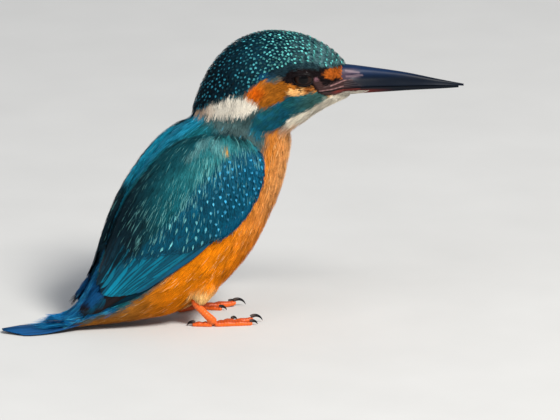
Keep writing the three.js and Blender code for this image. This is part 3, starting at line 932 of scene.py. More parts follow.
# A painted highlight on single strands of the azure back.
AZURE_HIGHLIGHT = paint(60, 176, 214)
RUMP_END, RUMP_LAST = -49, -44  # the x of the trunk's hind end, and of its last feathers' first roots
WING_SEEN, WING_COVER = 14.0, 1.6  # how far out a wing is looked for, and how far off it hides a feather


def clear_of_bare_parts(points):
    """Not on an eye or its lids, not on the bare skin of the gape, and not where the bill comes out."""
    forward, aside, above = in_head(points)
    eye = within(forward, above, EYE_OPENING, 0.1) * (np.abs(aside) > 5) > 0.5
    gape = within(forward, above, GAPE, 0.1) * (np.abs(aside) > 1.5) > 0.5
    return ~eye & ~gape & (forward <= bend(above, FEATHER_END))


def head_gap(points):
    """How far apart the feathers of the head stand: least round the bill and the eyes."""
    near_eye = np.minimum(*(np.linalg.norm(points - eye, axis=1) for eye in (right_eye, left_eye)))
    return 0.46 + 0.34 * smooth(5, 16, from_bill(points)) * smooth(4.5, 8.5, near_eye)


def on_head(points):
    forward, _, above = in_head(points)
    return (above > -16.5 - 0.10 * forward) & clear_of_bare_parts(points)


def head_coat():
    """Short fine locks, silky and a little longer on the white patch and the chin."""
    plumage = Plumage()
    roots = scattered(body, head_gap, on_head, 6)
    forward, aside, above = in_head(roots)
    silky = within(forward, above, WHITE_PATCH) * (np.abs(aside) > 4)
    chin = within(forward, above, THROAT_PATCH) * smooth(-17, -9, above)
    gaps = head_gap(roots)
    lengths = gaps * (3.6 + 0.9 * silky + 1.0 * chin)
    lines = traced(body, roots, lengths, lie, 4, 0.10)
    colours = coat_colour(lines[0][:, 3], 0.2)
    flat = fitted(unwrapped(roots, "head"))
    # The third value in each is how far a lock darkens towards its root, a painted shade.
    for chosen, fleck, dark in ((silky > 0.5, 0.03, 0.12), (silky <= 0.5, 0.13, 0.4)):
        grow(plumage, FACE_LOCK, [rows[chosen] for rows in lines], lengths[chosen], gaps[chosen] * 1.8,
             colours[chosen], flat[chosen], depth=0.5, fleck=fleck, root_shade=dark)
    coat_piece("coat_head", plumage, soft_feather)


def crown_dots():
    """Pale turquoise tips: in bars across the forehead, and staggered over the crown and nape."""
    plumage = Plumage()

    def wanted(points):
        forward, aside, above = in_head(points)
        inside = (above > bend(forward, CROWN_EDGE) + 0.5) & clear_of_bare_parts(points)
        brow = within(forward, above, BROW_PATCH, 0.1) * (np.abs(aside) > 5) > 0.5
        return inside & ~brow & (forward > -36) & (forward < 14.3)

    points, _ = body.sample(DOT_TRIALS)
    points = points[wanted(points)]
    row = from_bill(points) / ROW_GAP
    points = points[np.abs(row - np.round(row)) < 0.10 + 0.42 * smooth(14, 26, from_bill(points))]
    gaps = bend(from_bill(points), [(5, 0.62), (14, 0.80), (22, 1.10), (45, 1.25)])
    roots = points[thinned(points, gaps * rng.uniform(0.8, 1.25, len(points)))]
    reach = from_bill(roots)
    nape = smooth(24, 40, reach)
    lines = traced(body, roots, np.full(len(roots), DOT_LENGTH), lie, 3, 0.12)
    colours = blended(CROWN_SPOT, NAPE_SPOT, nape)
    colours = colours * rng.uniform(0.2, 1.0, (len(roots), 1)) ** (1.3 + nape[:, None])
    width = bend(reach, [(5, 0.95), (20, 0.88), (40, 0.72)]) * rng.uniform(0.55, 1.25, len(roots))
    grow(plumage, DOT, lines, DOT_LENGTH, width, colours, fitted(unwrapped(roots, "head")), depth=0.12,
         lift=0.08, root_shade=0.5)
    coat_piece("coat_head_spots", plumage, blue_feather)


head_coat()
crown_dots()


def on_trunk(points):
    return ~on_head(points) & clear_of_bare_parts(points) & (points[:, 2] < 75)


def hidden_by_wing(points, normals):
    """True for places that a folded wing covers by more than a feather's length."""
    hidden = []
    for place, normal in zip(points.tolist(), normals.tolist()):
        hits = (wing.tree.ray_cast(place, normal, WING_SEEN)[3] for wing in wings.values())
        hidden.append(any(reach is not None and reach > WING_COVER for reach in hits))
    return np.array(hidden)


def laid_over_tail(lines, lengths):
    """The rump's last feathers lie straight back over the root of the tail."""
    places, normals, headings = lines
    on_end = (places[:, 0, 0] < RUMP_END) & (normals[:, 0, 0] < -0.5)
    last = (places[:, 0, 0] < RUMP_LAST) & ((normals[:, 0, 2] > 0.4) | on_end)
    share = np.linspace(0, 1, places.shape[1])
    start = places[last, :1]
    x = start[..., 0] - lengths[last, None] * share
    z = start[..., 2] + tail_top(x) - tail_top(start[..., 0])
    places[last] = np.stack([x, start[..., 1] + 0 * x, z], axis=-1)
    headings[last] = unit(np.gradient(places[last], axis=1))
    normals[last] = unit(np.cross(headings[last], np.cross(UP, headings[last])))


def trunk_coat():
    """Fine soft locks with paler tips and a painted highlight down the breast's front edge, longest on the
    flanks and rump.
    """
    roots = scattered(body, evenly(TRUNK_GAP), on_trunk, 5)
    _, normals, _ = body.nearest(roots)
    under_tail = roots[:, 2] < tail_top(roots[:, 0])
    tail_end = (roots[:, 0] < RUMP_END) & (normals[:, 0] < -0.5) & under_tail
    roots = roots[~tail_end & ~hidden_by_wing(roots, normals)]
    distance, _, back = along_midline(roots)
    lengths = bend(distance, [(0, 3.4), (10, 4.0), (40, 5.0), (60, 5.4)])
    lengths *= rng.uniform(0.85, 1.15, len(roots))
    lengths += 1.8 * on_thigh(roots) + 2.2 * smooth(-41, -45, roots[:, 0])
    lines = traced(body, roots, lengths, lie, 5, 0.10)
    laid_over_tail(lines, lengths)
    colours = coat_colour(lines[0][:, 3], 0.35)
    # Strands streaked paler: down the breast's front edge these are paler tips and a painted highlight, and
    # on the azure back a painted highlight.
    front = smooth(7.5, 4.5, np.abs(roots[:, 1])) * smooth(24, 32, roots[:, 2]) * (back < -2)
    streaks = 0.025 + 0.40 * front + 0.30 * azure_band(roots[:, 1], roots[:, 2]) * (back > 0)
    flat = fitted(unwrapped(roots, "body"))
    groups = {"coat_back": back > 0, "coat_breast": (back <= 0) & (roots[:, 2] > 34),
              "coat_belly": (back <= 0) & (roots[:, 2] <= 34)}
    for name, chosen in groups.items():
        plumage = Plumage()
        part = [rows[chosen] for rows in lines]
        count = chosen.sum()
        streak = AZURE_HIGHLIGHT if name == "coat_back" else BREAST_PALE_TIPS_AND_HIGHLIGHT
        grow(plumage, BODY_LOCK, part, lengths[chosen], np.full(count, TRUNK_WIDTH), colours[chosen],
             flat[chosen], depth=0.8, fleck=0.10, streak=streak, streaks=streaks[chosen])
        material = blue_feather if name == "coat_back" else soft_feather
        coat_piece(name, plumage, material)


trunk_coat()

# ------------------------------------------------------------------ wings

# Places on a folded wing are seen from the side, as (x, z). run is the way its flight feathers lie, and
# rise is square to them, towards the back.
WING_SLOPE = math.radians(39)
RUN = np.array([-math.cos(WING_SLOPE), -math.sin(WING_SLOPE)])
RISE = np.array([-math.sin(WING_SLOPE), math.cos(WING_SLOPE)])
SCAPULAR_EDGE = [(6, 58.5), (3, 56.5), (-4.5, 51.6), (-9.6, 45.7), (-19, 34), (-28, 24.5), (-34, 19)]
COVERT_ENDS = [(40, 8), (36.8, 4.2), (33.2, -2.5), (29, -8.5), (26, -18)]  # (rise, run) of their tips
TERTIAL_ENDS = [(34, 19.6), (36.6, 17.6), (43.6, 12.5), (52, 5)]
# How far below level the small feathers point, in degrees, as (x, angle).
WING_LIE = [(-40, 38), (-28, 56), (-18, 72), (-5, 82), (5, 88), (15, 94)]
SHOULDER_ARC = [(-9.3, 56.7), (-5.1, 59.4), (-1.8, 61.6), (1.5, 59.4)]
STRAY_FEATHER = [(2.2, 59.4), (3.0, 58.4)]
# The second colour here is a painted shadow along the ends of the greater coverts.
COVERT_BLUE, COVERT_TIP_SHADOW, COVERT_TICK = paint(8, 92, 126), paint(6, 52, 70), paint(120, 214, 220)
# The first colour here is a painted light on the top of the scapulars, and the third a painted highlight
# along the shoulder.
SCAPULAR_LIT_TOP, SCAPULAR_DARK, SHOULDER_HIGHLIGHT = paint(46, 124, 128), paint(8, 34, 44), paint(104, 150, 150)
STRAY_ORANGE = paint(226, 160, 50)
QUILL_TEAL, QUILL_BLUE, QUILL_INNER = paint(0, 112, 138), paint(0, 88, 120), paint(2, 76, 98)
QUILL_DARK, PRIMARY, TERTIAL = paint(6, 34, 46), paint(24, 18, 20), paint(10, 48, 62)
WING_GAP, WING_WIDTH = 0.86, 1.7
SHOULDER_GAP, SHOULDER_WIDTH = 0.95, 1.8
SPOT_TRIALS = 40000
WELL_OUTSIDE, BESIDE_BODY = 60, 9  # how far aside: further out than a wing, and about where it lies


def wing_place(side, x, z):
    """The place on a wing's outer face at some x and z."""
    sign = SIDES[side]
    hit = wings[side].tree.ray_cast((x, sign * WELL_OUTSIDE, z), (0, -sign, 0))[0]
    if hit is None:
        hit = wings[side].tree.find_nearest((x, sign * BESIDE_BODY, z))[0]
    return np.array(hit)


def flight_frame(points):
    """(run, rise) of places on a wing."""
    flat = points[:, [0, 2]]
    return flat @ RUN, flat @ RISE


def past_coverts(points):
    """How far beyond the ends of the greater coverts places lie."""
    run, rise = flight_frame(points)
    return run - bend(rise, COVERT_ENDS)


def beyond_tertials(points):
    """1 where the rump's feathers show behind the folded wing, past the ends of its tertials."""
    run, rise = flight_frame(points)
    return smooth(-0.6, 0.4, run - bend(rise, TERTIAL_ENDS)) * smooth(30.5, 31.5, rise)


def outer_face(points):
    """True for places on a wing that do not lie against the body."""
    return body.nearest(points)[2] > 0.6


def below_level(angles, normals):
    """Backward headings that many radians below level, laid on a surface."""
    return laid(np.stack([-np.cos(angles), np.zeros(len(angles)), -np.sin(angles)], axis=-1), normals)


def along_wing(points, normals):
    """The lie of the small feathers, steeper towards the bend of the wing."""
    return below_level(np.radians(bend(points[:, 0], WING_LIE)), normals)


def wing_colour(points, waver=0.0):
    """Green-black scapulars, teal coverts, and a bluer edge low down and at the bend of the wing."""
    moved = points + rng.normal(0, 1, points.shape) * waver
    x, y, z = moved.T
    run, rise = flight_frame(moved)
    above = z - bend(x, SCAPULAR_EDGE)
    # The scapulars darken towards the back, and their top is lighter, a painted light from above.
    scapular = layered(SCAPULAR, (SCAPULAR_DARK, smooth(-12, -28, x)),
                       (SCAPULAR_DARK, 0.55 * smooth(46, 52, rise)),
                       (SCAPULAR_LIT_TOP, 0.7 * smooth(45, 56, z) * smooth(50, 46, rise)))
    return layered(
        COVERT,
        (COVERT_BLUE, 0.8 * np.maximum(smooth(27.5, 25, rise), smooth(6, 14, x))),
        # A painted shadow along the ends of the greater coverts.
        (COVERT_TIP_SHADOW, 0.75 * smooth(-3.2, -1.6, past_coverts(moved))),
        (scapular, smooth(-1, 1, above)),
        # A painted highlight along the top of the shoulder.
        (SHOULDER_HIGHLIGHT, 0.5 * near_line(moved, SHOULDER_ARC, 1.2)),
        # A painted shadow in the hollow between neck and shoulder.
        (HOLLOW_SHADOW, HOLLOW_SHARE * near_line(moved, HOLLOW_LINE, HOLLOW_REACH)),
        (STRAY_ORANGE, near_line(points, STRAY_FEATHER, 0.6) * (y < 0)),
        (AZURE, azure_band(y, z) * smooth(49, 52, rise)),
        # The rump where it shows behind the wing, darkened as painted shade.
        (blended(RUMP_IN_SHADE, PRIMARY, smooth(24, 27, run)), beyond_tertials(moved)),
    )


def wing_coat(side):
    """Scapulars and small coverts: fine locks, paler where the light catches single barbs."""
    surface = wings[side]
    roots = scattered(surface, evenly(WING_GAP), outer_face, 5)
    upper = roots[:, 2] - bend(roots[:, 0], SCAPULAR_EDGE) > -1
    run, rise = flight_frame(roots)
    shown = (past_coverts(roots) < np.where(upper, -0.5, -3.0)) | (beyond_tertials(roots) > 0.2)
    shown &= run < 26
    roots, upper, rise = roots[shown], upper[shown], rise[shown]
    lengths = np.where(upper, 5.2, 3.6) * rng.uniform(0.85, 1.15, len(roots))
    lines = traced(surface, roots, lengths, along_wing, 5, 0.10)
    colours = wing_colour(lines[0][:, 3], 0.3)
    flat = fitted(roots[:, [0, 2]])
    # How often a strand is streaked with a painted glint of light on its barbs.
    pale = 0.24 * smooth(-30, -12, roots[:, 0]) * smooth(51, 44, rise) * upper + 0.02
    for name, chosen in (("scapulars", upper), ("coverts", ~upper)):
        plumage = Plumage()
        part = [rows[chosen] for rows in lines]
        grow(plumage, BODY_LOCK, part, lengths[chosen], np.full(chosen.sum(), WING_WIDTH), colours[chosen],
             flat[chosen], depth=0.6, fleck=0.15, streak=SCAPULAR_GLINT, streaks=pale[chosen])
        if name == "coverts":
            covert_spots(side, plumage)
        coat_piece(f"coat_{name}_{side}", plumage, blue_feather)


def shoulder_feathers():
    """Feathers of the mantle that lie over the upper edges of the folded wings."""
    def where(points):
        x, y, z = points.T
        chosen = (z > 34) & (x < 11) & (np.abs(y) > 5)
        chosen[chosen] = (gap_to_wings(points[chosen]) < 1.8) & (body.nearest(points[chosen])[2] < 2.2)
        return chosen

    plumage = Plumage()
    roots = scattered(whole, evenly(SHOULDER_GAP), where, 5)
    lengths = rng.uniform(4.2, 5.4, len(roots))
    lines = traced(whole, roots, lengths, along_wing, 5, 0.12)
    seen = lines[0][:, 3]
    on_wing = gap_to_wings(seen) < body.nearest(seen)[2]
    colours = np.where(on_wing[:, None], wing_colour(seen, 0.4), coat_colour(seen, 0.4))
    # A few strands get the painted glint of light on their barbs.
    grow(plumage, BODY_LOCK, lines, lengths, np.full(len(roots), SHOULDER_WIDTH), colours,
         fitted(unwrapped(roots, "body")), depth=0.7, lift=0.12, fleck=0.14, streak=SCAPULAR_GLINT,
         streaks=0.06)
    coat_piece("coat_shoulders", plumage, blue_feather)


def covert_spots(side, plumage):
    """Turquoise tips on the coverts: round at the bend of the wing, drawn out and paler below."""
    points, _ = wings[side].sample(SPOT_TRIALS)
    x, z = points[:, 0], points[:, 2]
    below = z < bend(x, SCAPULAR_EDGE) - 0.5
    _, rise = flight_frame(points)
    likely = smooth(58, 52, z) * (1 - 0.7 * smooth(-4, 3, x) * smooth(44, 39, z))
    below = below & (rng.random(len(points)) < likely**2)
    points = points[below & (past_coverts(points) < -2.5) & (rise > 25.8) & (x < 14.5) & outer_face(points)]
    sparse = smooth(2, -12, points[:, 0])
    roots = points[thinned(points, rng.uniform(1.5, 2.6, len(points)) + 1.1 * sparse)]
    sparse = smooth(2, -12, roots[:, 0])
    long = (1.05 + 0.9 * sparse) * rng.uniform(0.7, 1.3, len(roots))
    wide = (1.0 - 0.35 * sparse) * rng.uniform(0.6, 1.15, len(roots))
    lines = traced(wings[side], roots, long, along_wing, 3, 0.10)
    colours = blended(COVERT_SPOT, COVERT_TICK, sparse)
    colours = colours * rng.uniform(0.25, 1.0, (len(roots), 1))
    grow(plumage, DOT, lines, long, wide, colours, fitted(roots[:, [0, 2]]), depth=0.15, lift=0.12,
         root_shade=0.4, ragged=0.1)


def quill(rows, columns, tip=0.22, thick=0.012, camber=0.05):
    """A flight feather: a thin closed slab, its edges level and its end round, with a raised shaft."""
    feather = Tuft()
    spread = sorted({round(2 * j / columns - 1, 4) for j in range(columns + 1)} | {-0.07, 0.07})
    for below in (0, 1):
        for i in range(rows + 1):
            s = i / rows
            width = 0.55 + 0.45 * math.sin(min(s / 0.3, 1) * math.pi / 2)
            end = math.sqrt(max(0.0, 1 - max(0.0, (s - (1 - tip)) / tip) ** 2))
            for u in spread:
                shaft = 0.025 * math.exp(-((u / 0.08) ** 2))
                lift = shaft - camber * u * u - thick * below
                feather.point(s, u * width * max(end, 0.06), lift)
    across = len(spread)
    sheet = (rows + 1) * across
    for i in range(rows):
        for j in range(across - 1):
            a = i * across + j
            feather.faces.append((a, a + 1, a + across + 1, a + across))
            b = a + sheet
            feather.faces.append((b + across, b + across + 1, b + 1, b))
        for edge in (0, across - 1):
            a = i * across + edge
            rim = (a, a + across, a + across + sheet, a + sheet)
            feather.faces.append(rim if edge == 0 else rim[::-1])
    for j in range(across - 1):
        a = rows * across + j
        feather.faces.append((a, a + 1, a + 1 + sheet, a + sheet)[::-1])
    return feather


QUILL = quill(18, 8)
QUILL_STEPS = 14
COVERT_LENGTH = 8.5


def lay_quills(plumage, lines, widths, heights, outer, inner, outer_side, cells):
    """Long feathers, one above the next. outer and inner colour the two sides of each shaft. Each feather
    has its own cell of the unwrapped piece: cells are the first one's number and how many there are."""
    places, normals, headings = lines
    along, aside, raised, _ = QUILL.arrays()
    count = len(places)
    shape = (count, len(along))
    at = np.broadcast_to(along, shape)
    up = between(normals, at)
    side = unit(np.cross(up, between(headings, at)))
    half = widths[:, None] / 2
    height = heights[:, None] + raised[None] * half * 2
    points = between(places, at) + side * (aside[None] * half)[..., None] + up * height[..., None]
    lower = np.arange(len(along)) >= len(along) // 2
    points[..., 2] = np.maximum(points[..., 2], np.where(lower, FLOOR_GAP, 2 * FLOOR_GAP))
    on_outer = smooth(-0.02, 0.10, aside * outer_side)
    # The vane's edges are darker, partly a dark rim and partly painted shadow where one feather lies over
    # the next, and each feather darkens towards its root as painted shade.
    edge = smooth(0.78, 0.95, np.abs(aside)) * 0.4
    shaft = np.exp(-((aside / 0.05) ** 2)) * 0.6
    shade = (1 - shaft) * (1 - edge) * np.where(lower, 0.55, 1.0) * (0.8 + 0.2 * along)
    painted = inner[:, None] + (outer - inner)[:, None] * on_outer[None, :, None]
    kinds = np.broadcast_to(rng.random((count, 1)), shape)
    vanes = np.stack([np.broadcast_to(aside, shape), at, kinds], axis=-1)
    across = int(math.ceil(math.sqrt(cells[1])))
    number = cells[0] + np.arange(count)
    corner = np.stack([number % across, number // across], axis=-1) / across
    in_cell = np.stack([aside * 0.2 + 0.25 + 0.5 * lower, np.clip(along, 0, 1) * 0.9 + 0.05], axis=-1)
    plumage.add(points, QUILL.faces, painted * shade[None, :, None], vanes,
                corner[:, None] + in_cell[None] / across)


def flight_feathers(side):
    """From the bottom up: primaries out to the wing's tip, secondaries, tertials at the back, and the
    greater coverts. Each row gives the first and last root and tip as (run, rise)."""
    rows = [
        # count, first and last root, first and last tip, width, first height, step up, colours of the sides
        (7, (3, 27.8), (0, 29.4), (28.4, 31.4), (20.5, 31.2), 3.4, -0.82, 0.02, PRIMARY * 1.3, PRIMARY),
        (9, (-16, 25.7), (3.5, 36.8), (13, 26.8), (20.4, 35.4), 4.3, -0.60, 0.04, QUILL_TEAL, QUILL_INNER),
        (3, (4, 38.2), (4.6, 41), (20.8, 36.6), (19.2, 39.6), 3.8, -0.30, 0.04, QUILL_TEAL, QUILL_DARK),
        (3, (4.4, 41.6), (5, 45), (20.5, 40.6), (15.5, 43.6), 3.4, -0.20, 0.04, TERTIAL, QUILL_DARK),
        (16, (-24, 25.2), (1, 37.6), (-9, 26.3), (8.4, 36.9), 2.9, -0.36, 0.008, COVERT, COVERT * 0.6),
    ]
    plumage = Plumage()
    total = sum(row[0] for row in rows)
    laid = 0
    for count, root, last_root, tip, last_tip, width, height, step, outer, inner in rows:
        share = np.linspace(0, 1, count)[:, None]
        starts = np.array(root) * (1 - share) + np.array(last_root) * share
        ends = np.array(tip) * (1 - share) + np.array(last_tip) * share
        if outer is COVERT:  # the greater coverts end along a curve
            ends[:, 0] = bend(ends[:, 1], COVERT_ENDS) + 0.6
            starts[:, 0] = ends[:, 0] - COVERT_LENGTH
        places = starts[:, :1] * RUN + starts[:, 1:] * RISE
        roots = np.array([wing_place(side, x, z) for x, z in places.tolist()])
        lean = np.degrees(np.arctan2(ends[:, 1] - starts[:, 1], ends[:, 0] - starts[:, 0]))
        slopes = np.radians(np.degrees(WING_SLOPE) - lean)

        def flow(points, normals, slopes=slopes):
            return below_level(slopes, normals)

        # traced twice, because a line over a curved face ends short of its length as seen from the side
        lengths = np.linalg.norm(ends - starts, axis=1)
        lines = traced(wings[side], roots, lengths, flow, QUILL_STEPS, 0.0)
        reached = np.linalg.norm((lines[0][:, -1] - lines[0][:, 0])[:, [0, 2]], axis=1)
        lengths = lengths * np.clip(lengths / reached, 1, 1.3)
        lines = traced(wings[side], roots, lengths, flow, QUILL_STEPS, 0.0)
        shades = rng.uniform(0.8, 1.2, (count, 1))
        outers = np.tile(outer, (count, 1)) * shades
        if outer is QUILL_TEAL:
            outers = blended(outers, QUILL_BLUE, smooth(0.3, 0.0, share[:, 0]))
        lay_quills(plumage, lines, np.full(count, width), height + step * np.arange(count), outers,
                   np.tile(inner, (count, 1)), -SIDES[side], (laid, total))
        laid += count
    coat_piece(f"flight_feathers_{side}", plumage, quill_feather)


make_skin()
shoulder_feathers()
for side in SIDES:
    wing_coat(side)
    flight_feathers(side)

# ------------------------------------------------------------------ tail

TAIL_BLUE = paint(8, 68, 116)
TAIL_ROOT, TAIL_TIP = -33.0, -66.0
TAIL_PAIRS, TAIL_STEPS, TAIL_WIDTH = 6, 12, 5.6


def tail_feathers():
    """Twelve feathers laid over one another, the middle pair on top, their round tips on the floor."""
    plumage = Plumage()
    count = 2 * TAIL_PAIRS
    pair = np.repeat(np.arange(TAIL_PAIRS), 2)[::-1]
    sign = np.tile([1.0, -1.0], TAIL_PAIRS)
    share = np.linspace(0, 1, TAIL_STEPS + 1)
    x = TAIL_ROOT + (TAIL_TIP + 0.8 * pair[:, None] - TAIL_ROOT) * share
    y = sign[:, None] * (0.5 + 0.35 * pair[:, None] + (0.1 + 0.3 * pair[:, None]) * share)
    places = np.stack([x, y, tail_top(x)], axis=-1)
    headings = unit(np.gradient(places, axis=1))
    normals = unit(np.cross(headings, np.cross(UP, headings)))
    outer = TAIL_BLUE * rng.uniform(0.8, 1.3, (count, 1))
    for k in range(count):
        one = [rows[k:k + 1] for rows in (places, normals, headings)]
        lay_quills(plumage, one, np.array([TAIL_WIDTH]), np.array([-0.12 * pair[k]]), outer[k:k + 1],
                   outer[k:k + 1] * 0.6, -sign[k], (k, count))
    coat_piece("tail_feathers", plumage, quill_feather, ["tail"])


tail_feathers()

# ------------------------------------------------------------------ bill

BILL_STEPS, BILL_SIDES = 200, 72
# The second colour is a painted bluish sheen towards the ridge of the upper half.
BILL_DARK, BILL_RIDGE_SHEEN = paint(3, 12, 25), paint(14, 36, 68)
BILL_RED, BILL_BROWN = paint(124, 40, 22), paint(58, 40, 38)
# The second colour is painted highlights along the lines below, by the nostril.
BILL_ROOT, BILL_HIGHLIGHT = paint(70, 54, 66), paint(130, 110, 118)
BILL_HIGHLIGHT_LINES = [[(13.4, 0.5), (17.5, -0.2)], [(13.6, -1.3), (18.5, -1.0)]]
# The nostril, the swelling over it and the groove ahead of it: forward, above, length, height, depth.
NOSTRIL = [(16.2, -1.3, 1.5, 0.45, 0.5), (15.6, -0.4, 2.4, 0.5, -0.18), (21.0, -1.9, 7.0, 0.5, 0.12)]


def through(stops, count):
    """Smooth values at even steps along stops, by a Catmull-Rom curve."""
    known = np.array(stops, float)
    padded = np.vstack([2 * known[0] - known[1], known, 2 * known[-1] - known[-2]])
    t = np.linspace(0, len(known) - 1, count)
    i = np.minimum(t.astype(int), len(known) - 2)
    f = (t - i)[:, None]
    a, b, c, d = padded[i], padded[i + 1], padded[i + 2], padded[i + 3]
    square, cube = 2 * a - 5 * b + 4 * c - d, 3 * b - a - 3 * c + d
    return 0.5 * (2 * b + (c - a) * f + square * f**2 + cube * f**3)


def ring_faces(rings, sides):
    """Quads over rings of points, closed round, with no ends."""
    r, k = np.meshgrid(np.arange(rings - 1), np.arange(sides), indexing="ij")
    after = (k + 1) % sides
    near, far = r * sides, (r + 1) * sides
    return np.stack([near + k, near + after, far + after, far + k], axis=-1).reshape(-1, 4)


def end_faces(start, sides, hub, turned_over):
    """Triangles from a ring to the point in its middle, whose number is hub."""
    k = np.arange(sides)
    pair = (start + k, start + (k + 1) % sides)
    first, second = pair[::-1] if turned_over else pair
    return np.stack([np.full(sides, hub), first, second], axis=-1)


def closed_rings(rings):
    """Points and faces of a closed skin over rings given as (rings, sides, 3)."""
    count, sides = rings.shape[:2]
    points = np.concatenate([rings.reshape(-1, 3), rings[0].mean(0)[None], rings[-1].mean(0)[None]])
    quads = ring_faces(count, sides)
    ends = np.concatenate([
        end_faces(0, sides, count * sides, True),
        end_faces((count - 1) * sides, sides, count * sides + 1, False),
    ])
    return points, [quads, ends]


def outward(points, faces):
    """The faces turned over if they face inwards."""
    volume = 0.0
    for block in faces:
        a = points[block[:, 0]]
        for k in range(1, block.shape[1] - 1):
            volume += (a * np.cross(points[block[:, k]], points[block[:, k + 1]])).sum()
    return faces if volume > 0 else [block[:, ::-1] for block in faces]


def half_bill(stops):
    """Rings round one half of the bill, flat at the mouth line and rounded over the ridge."""
    forward, ridge, mouth, half = through(stops, BILL_STEPS).T[:, :, None]
    angle = np.linspace(0, 2 * math.pi, BILL_SIDES, endpoint=False)[None]
    c, s = np.cos(angle), np.sin(angle)
    round_over = np.sign(c) * np.abs(c) ** 0.86
    height = np.maximum(0, s) ** 1.15 - 0.05 * np.maximum(0, -s)
    pinch = 1 - PINCH * np.sin(np.clip(height, 0, 1) * math.pi)
    aside = half * round_over * pinch
    above = mouth + (ridge - mouth) * height
    return from_head(np.broadcast_to(forward, aside.shape), aside, above)


def pressed(rings, places):
    """Rings with dents and swellings: (forward, above, length, height, depth) on both sides."""
    forward, aside, above = in_head(rings)
    for at, level, long, tall, depth in places:
        share = np.exp(-(((forward - at) / long) ** 2) - ((above - level) / tall) ** 2)
        aside = aside - np.sign(aside) * depth * share * smooth(0.4, 1.2, np.abs(aside))
    return from_head(forward, aside, above)


def make_bill():
    """Both halves of the bill. Gives the search trees of both, and the lower one's surface."""
    trees = []
    halves = {"bill_upper": pressed(half_bill(UPPER_BILL), NOSTRIL), "bill_lower": half_bill(LOWER_BILL)}
    for node, rings in halves.items():
        points, faces = closed_rings(rings)
        forward, _, above = in_head(points)
        if node == "bill_upper":
            on_root = smooth(19, 13, forward) * smooth(-3, -1.4, above) * smooth(1.5, 0.6, above)
            # Painted highlights along two lines by the nostril.
            streaks = [line_in_head(forward, above, line, 0.45) for line in BILL_HIGHLIGHT_LINES]
            # A painted bluish sheen towards the ridge.
            layers = [(BILL_RIDGE_SHEEN, 0.8 * smooth(-2.6, 0.5, above)), (BILL_ROOT, 0.7 * on_root),
                      *((BILL_HIGHLIGHT, 0.6 * streak) for streak in streaks),
                      (BILL_BROWN, 0.7 * smooth(20, 12, forward) * smooth(-2.5, -4.2, above))]
        else:
            layers = [(BILL_RED, 0.85 * smooth(30, 14, forward) * smooth(-5.0, -6.2, above))]
        colours = layered(BILL_DARK, *layers)
        piece_from(f"{node}_horn", points, outward(points, faces), bill_horn, [node], colours)
        surface = Surface(points, outward(points, faces)[0])
        trees.append(surface.tree)
    return trees, surface


# ------------------------------------------------------------------ eyes and lids

IRIS, PUPIL, EYE_RIM = paint(30, 17, 12), paint(4, 4, 5), paint(14, 10, 10)
LID, LID_CORNER = paint(16, 12, 13), paint(108, 74, 78)
# The lids' rim, from its inner edge outwards: how far out from the opening's middle, and above the ball.
LID_RIM = [(2.52, -0.35), (2.58, 0.06), (2.70, 0.24), (2.92, 0.28), (3.2, 0.18), (3.7, 0.08), (4.4, -0.5)]
EYE_RINGS, EYE_SIDES, LID_SIDES = 40, 64, 72
CORNEA, EYE_SUNK = 0.22, 0.12  # how far the cornea bulges, and the ball lies in from its place
LID_LONG, LID_TALL = 1.16, 0.66  # the opening's length and height beside a circle's


def eye_frame(side):
    """An eye's middle, and the way outwards from it."""
    return (right_eye if side == "right" else left_eye), LEFT * SIDES[side]


def make_eye(side):
    """A ball with a slightly bulging cornea."""
    middle, out = eye_frame(side)
    polar = np.linspace(0.02, math.pi - 0.02, EYE_RINGS)[:, None]
    angle = np.linspace(0, 2 * math.pi, EYE_SIDES, endpoint=False)[None]
    reach = EYE_RADIUS * np.sin(polar)
    bulge = CORNEA * np.exp(-((np.sin(polar) / 0.5) ** 2)) * (np.cos(polar) > 0)
    depth = EYE_RADIUS * np.cos(polar) - EYE_SUNK + bulge
    points = middle + (depth * np.ones_like(angle))[..., None] * out
    points = points + (reach * np.cos(angle))[..., None] * FORWARD + (reach * np.sin(angle))[..., None] * UP
    points, faces = closed_rings(points)
    away = points - middle
    off_axis = np.linalg.norm(away - (away @ out)[:, None] * out, axis=1)
    colours = layered(EYE_RIM, (IRIS, smooth(2.75, 2.4, off_axis)), (PUPIL, smooth(1.55, 1.4, off_axis)))
    piece_from(f"eyeball_{side}", points, outward(points, faces), eye_gloss, [f"eye_{side}"],
               colours)


def make_lids(side):
    """Upper and lower lid as one lens-shaped rim round the eye, drawn out to a bare corner in front."""
    middle, out = eye_frame(side)
    angle = np.linspace(0, 2 * math.pi, LID_SIDES, endpoint=False)
    front = np.maximum(0, np.cos(angle)) ** 6
    rows = []
    for reach, proud in LID_RIM:
        x = reach * np.cos(angle) * LID_LONG - 0.15 + 0.5 * front * (reach > 2.55)
        z = reach * np.sin(angle) * LID_TALL - 0.25
        ball = np.sqrt(np.maximum(EYE_RADIUS**2 - x**2 - z**2, 1.0))
        rows.append(middle + x[:, None] * FORWARD + z[:, None] * UP + (ball + proud)[:, None] * out)
    points = np.concatenate(rows)
    faces = ring_faces(len(LID_RIM), LID_SIDES)
    if side == "left":
        faces = faces[:, ::-1]
    away = points - middle
    corner = smooth(0.9, 0.2, np.hypot(away @ FORWARD - 3.7, (away @ UP + 0.25) * 1.2))
    colours = blended(LID, LID_CORNER, corner)
    piece_from(f"lids_{side}", points, [faces], lid_skin, (), colours)


for side in SIDES:
    make_eye(side)
    make_lids(side)

# ------------------------------------------------------------------ bare skin of the gape

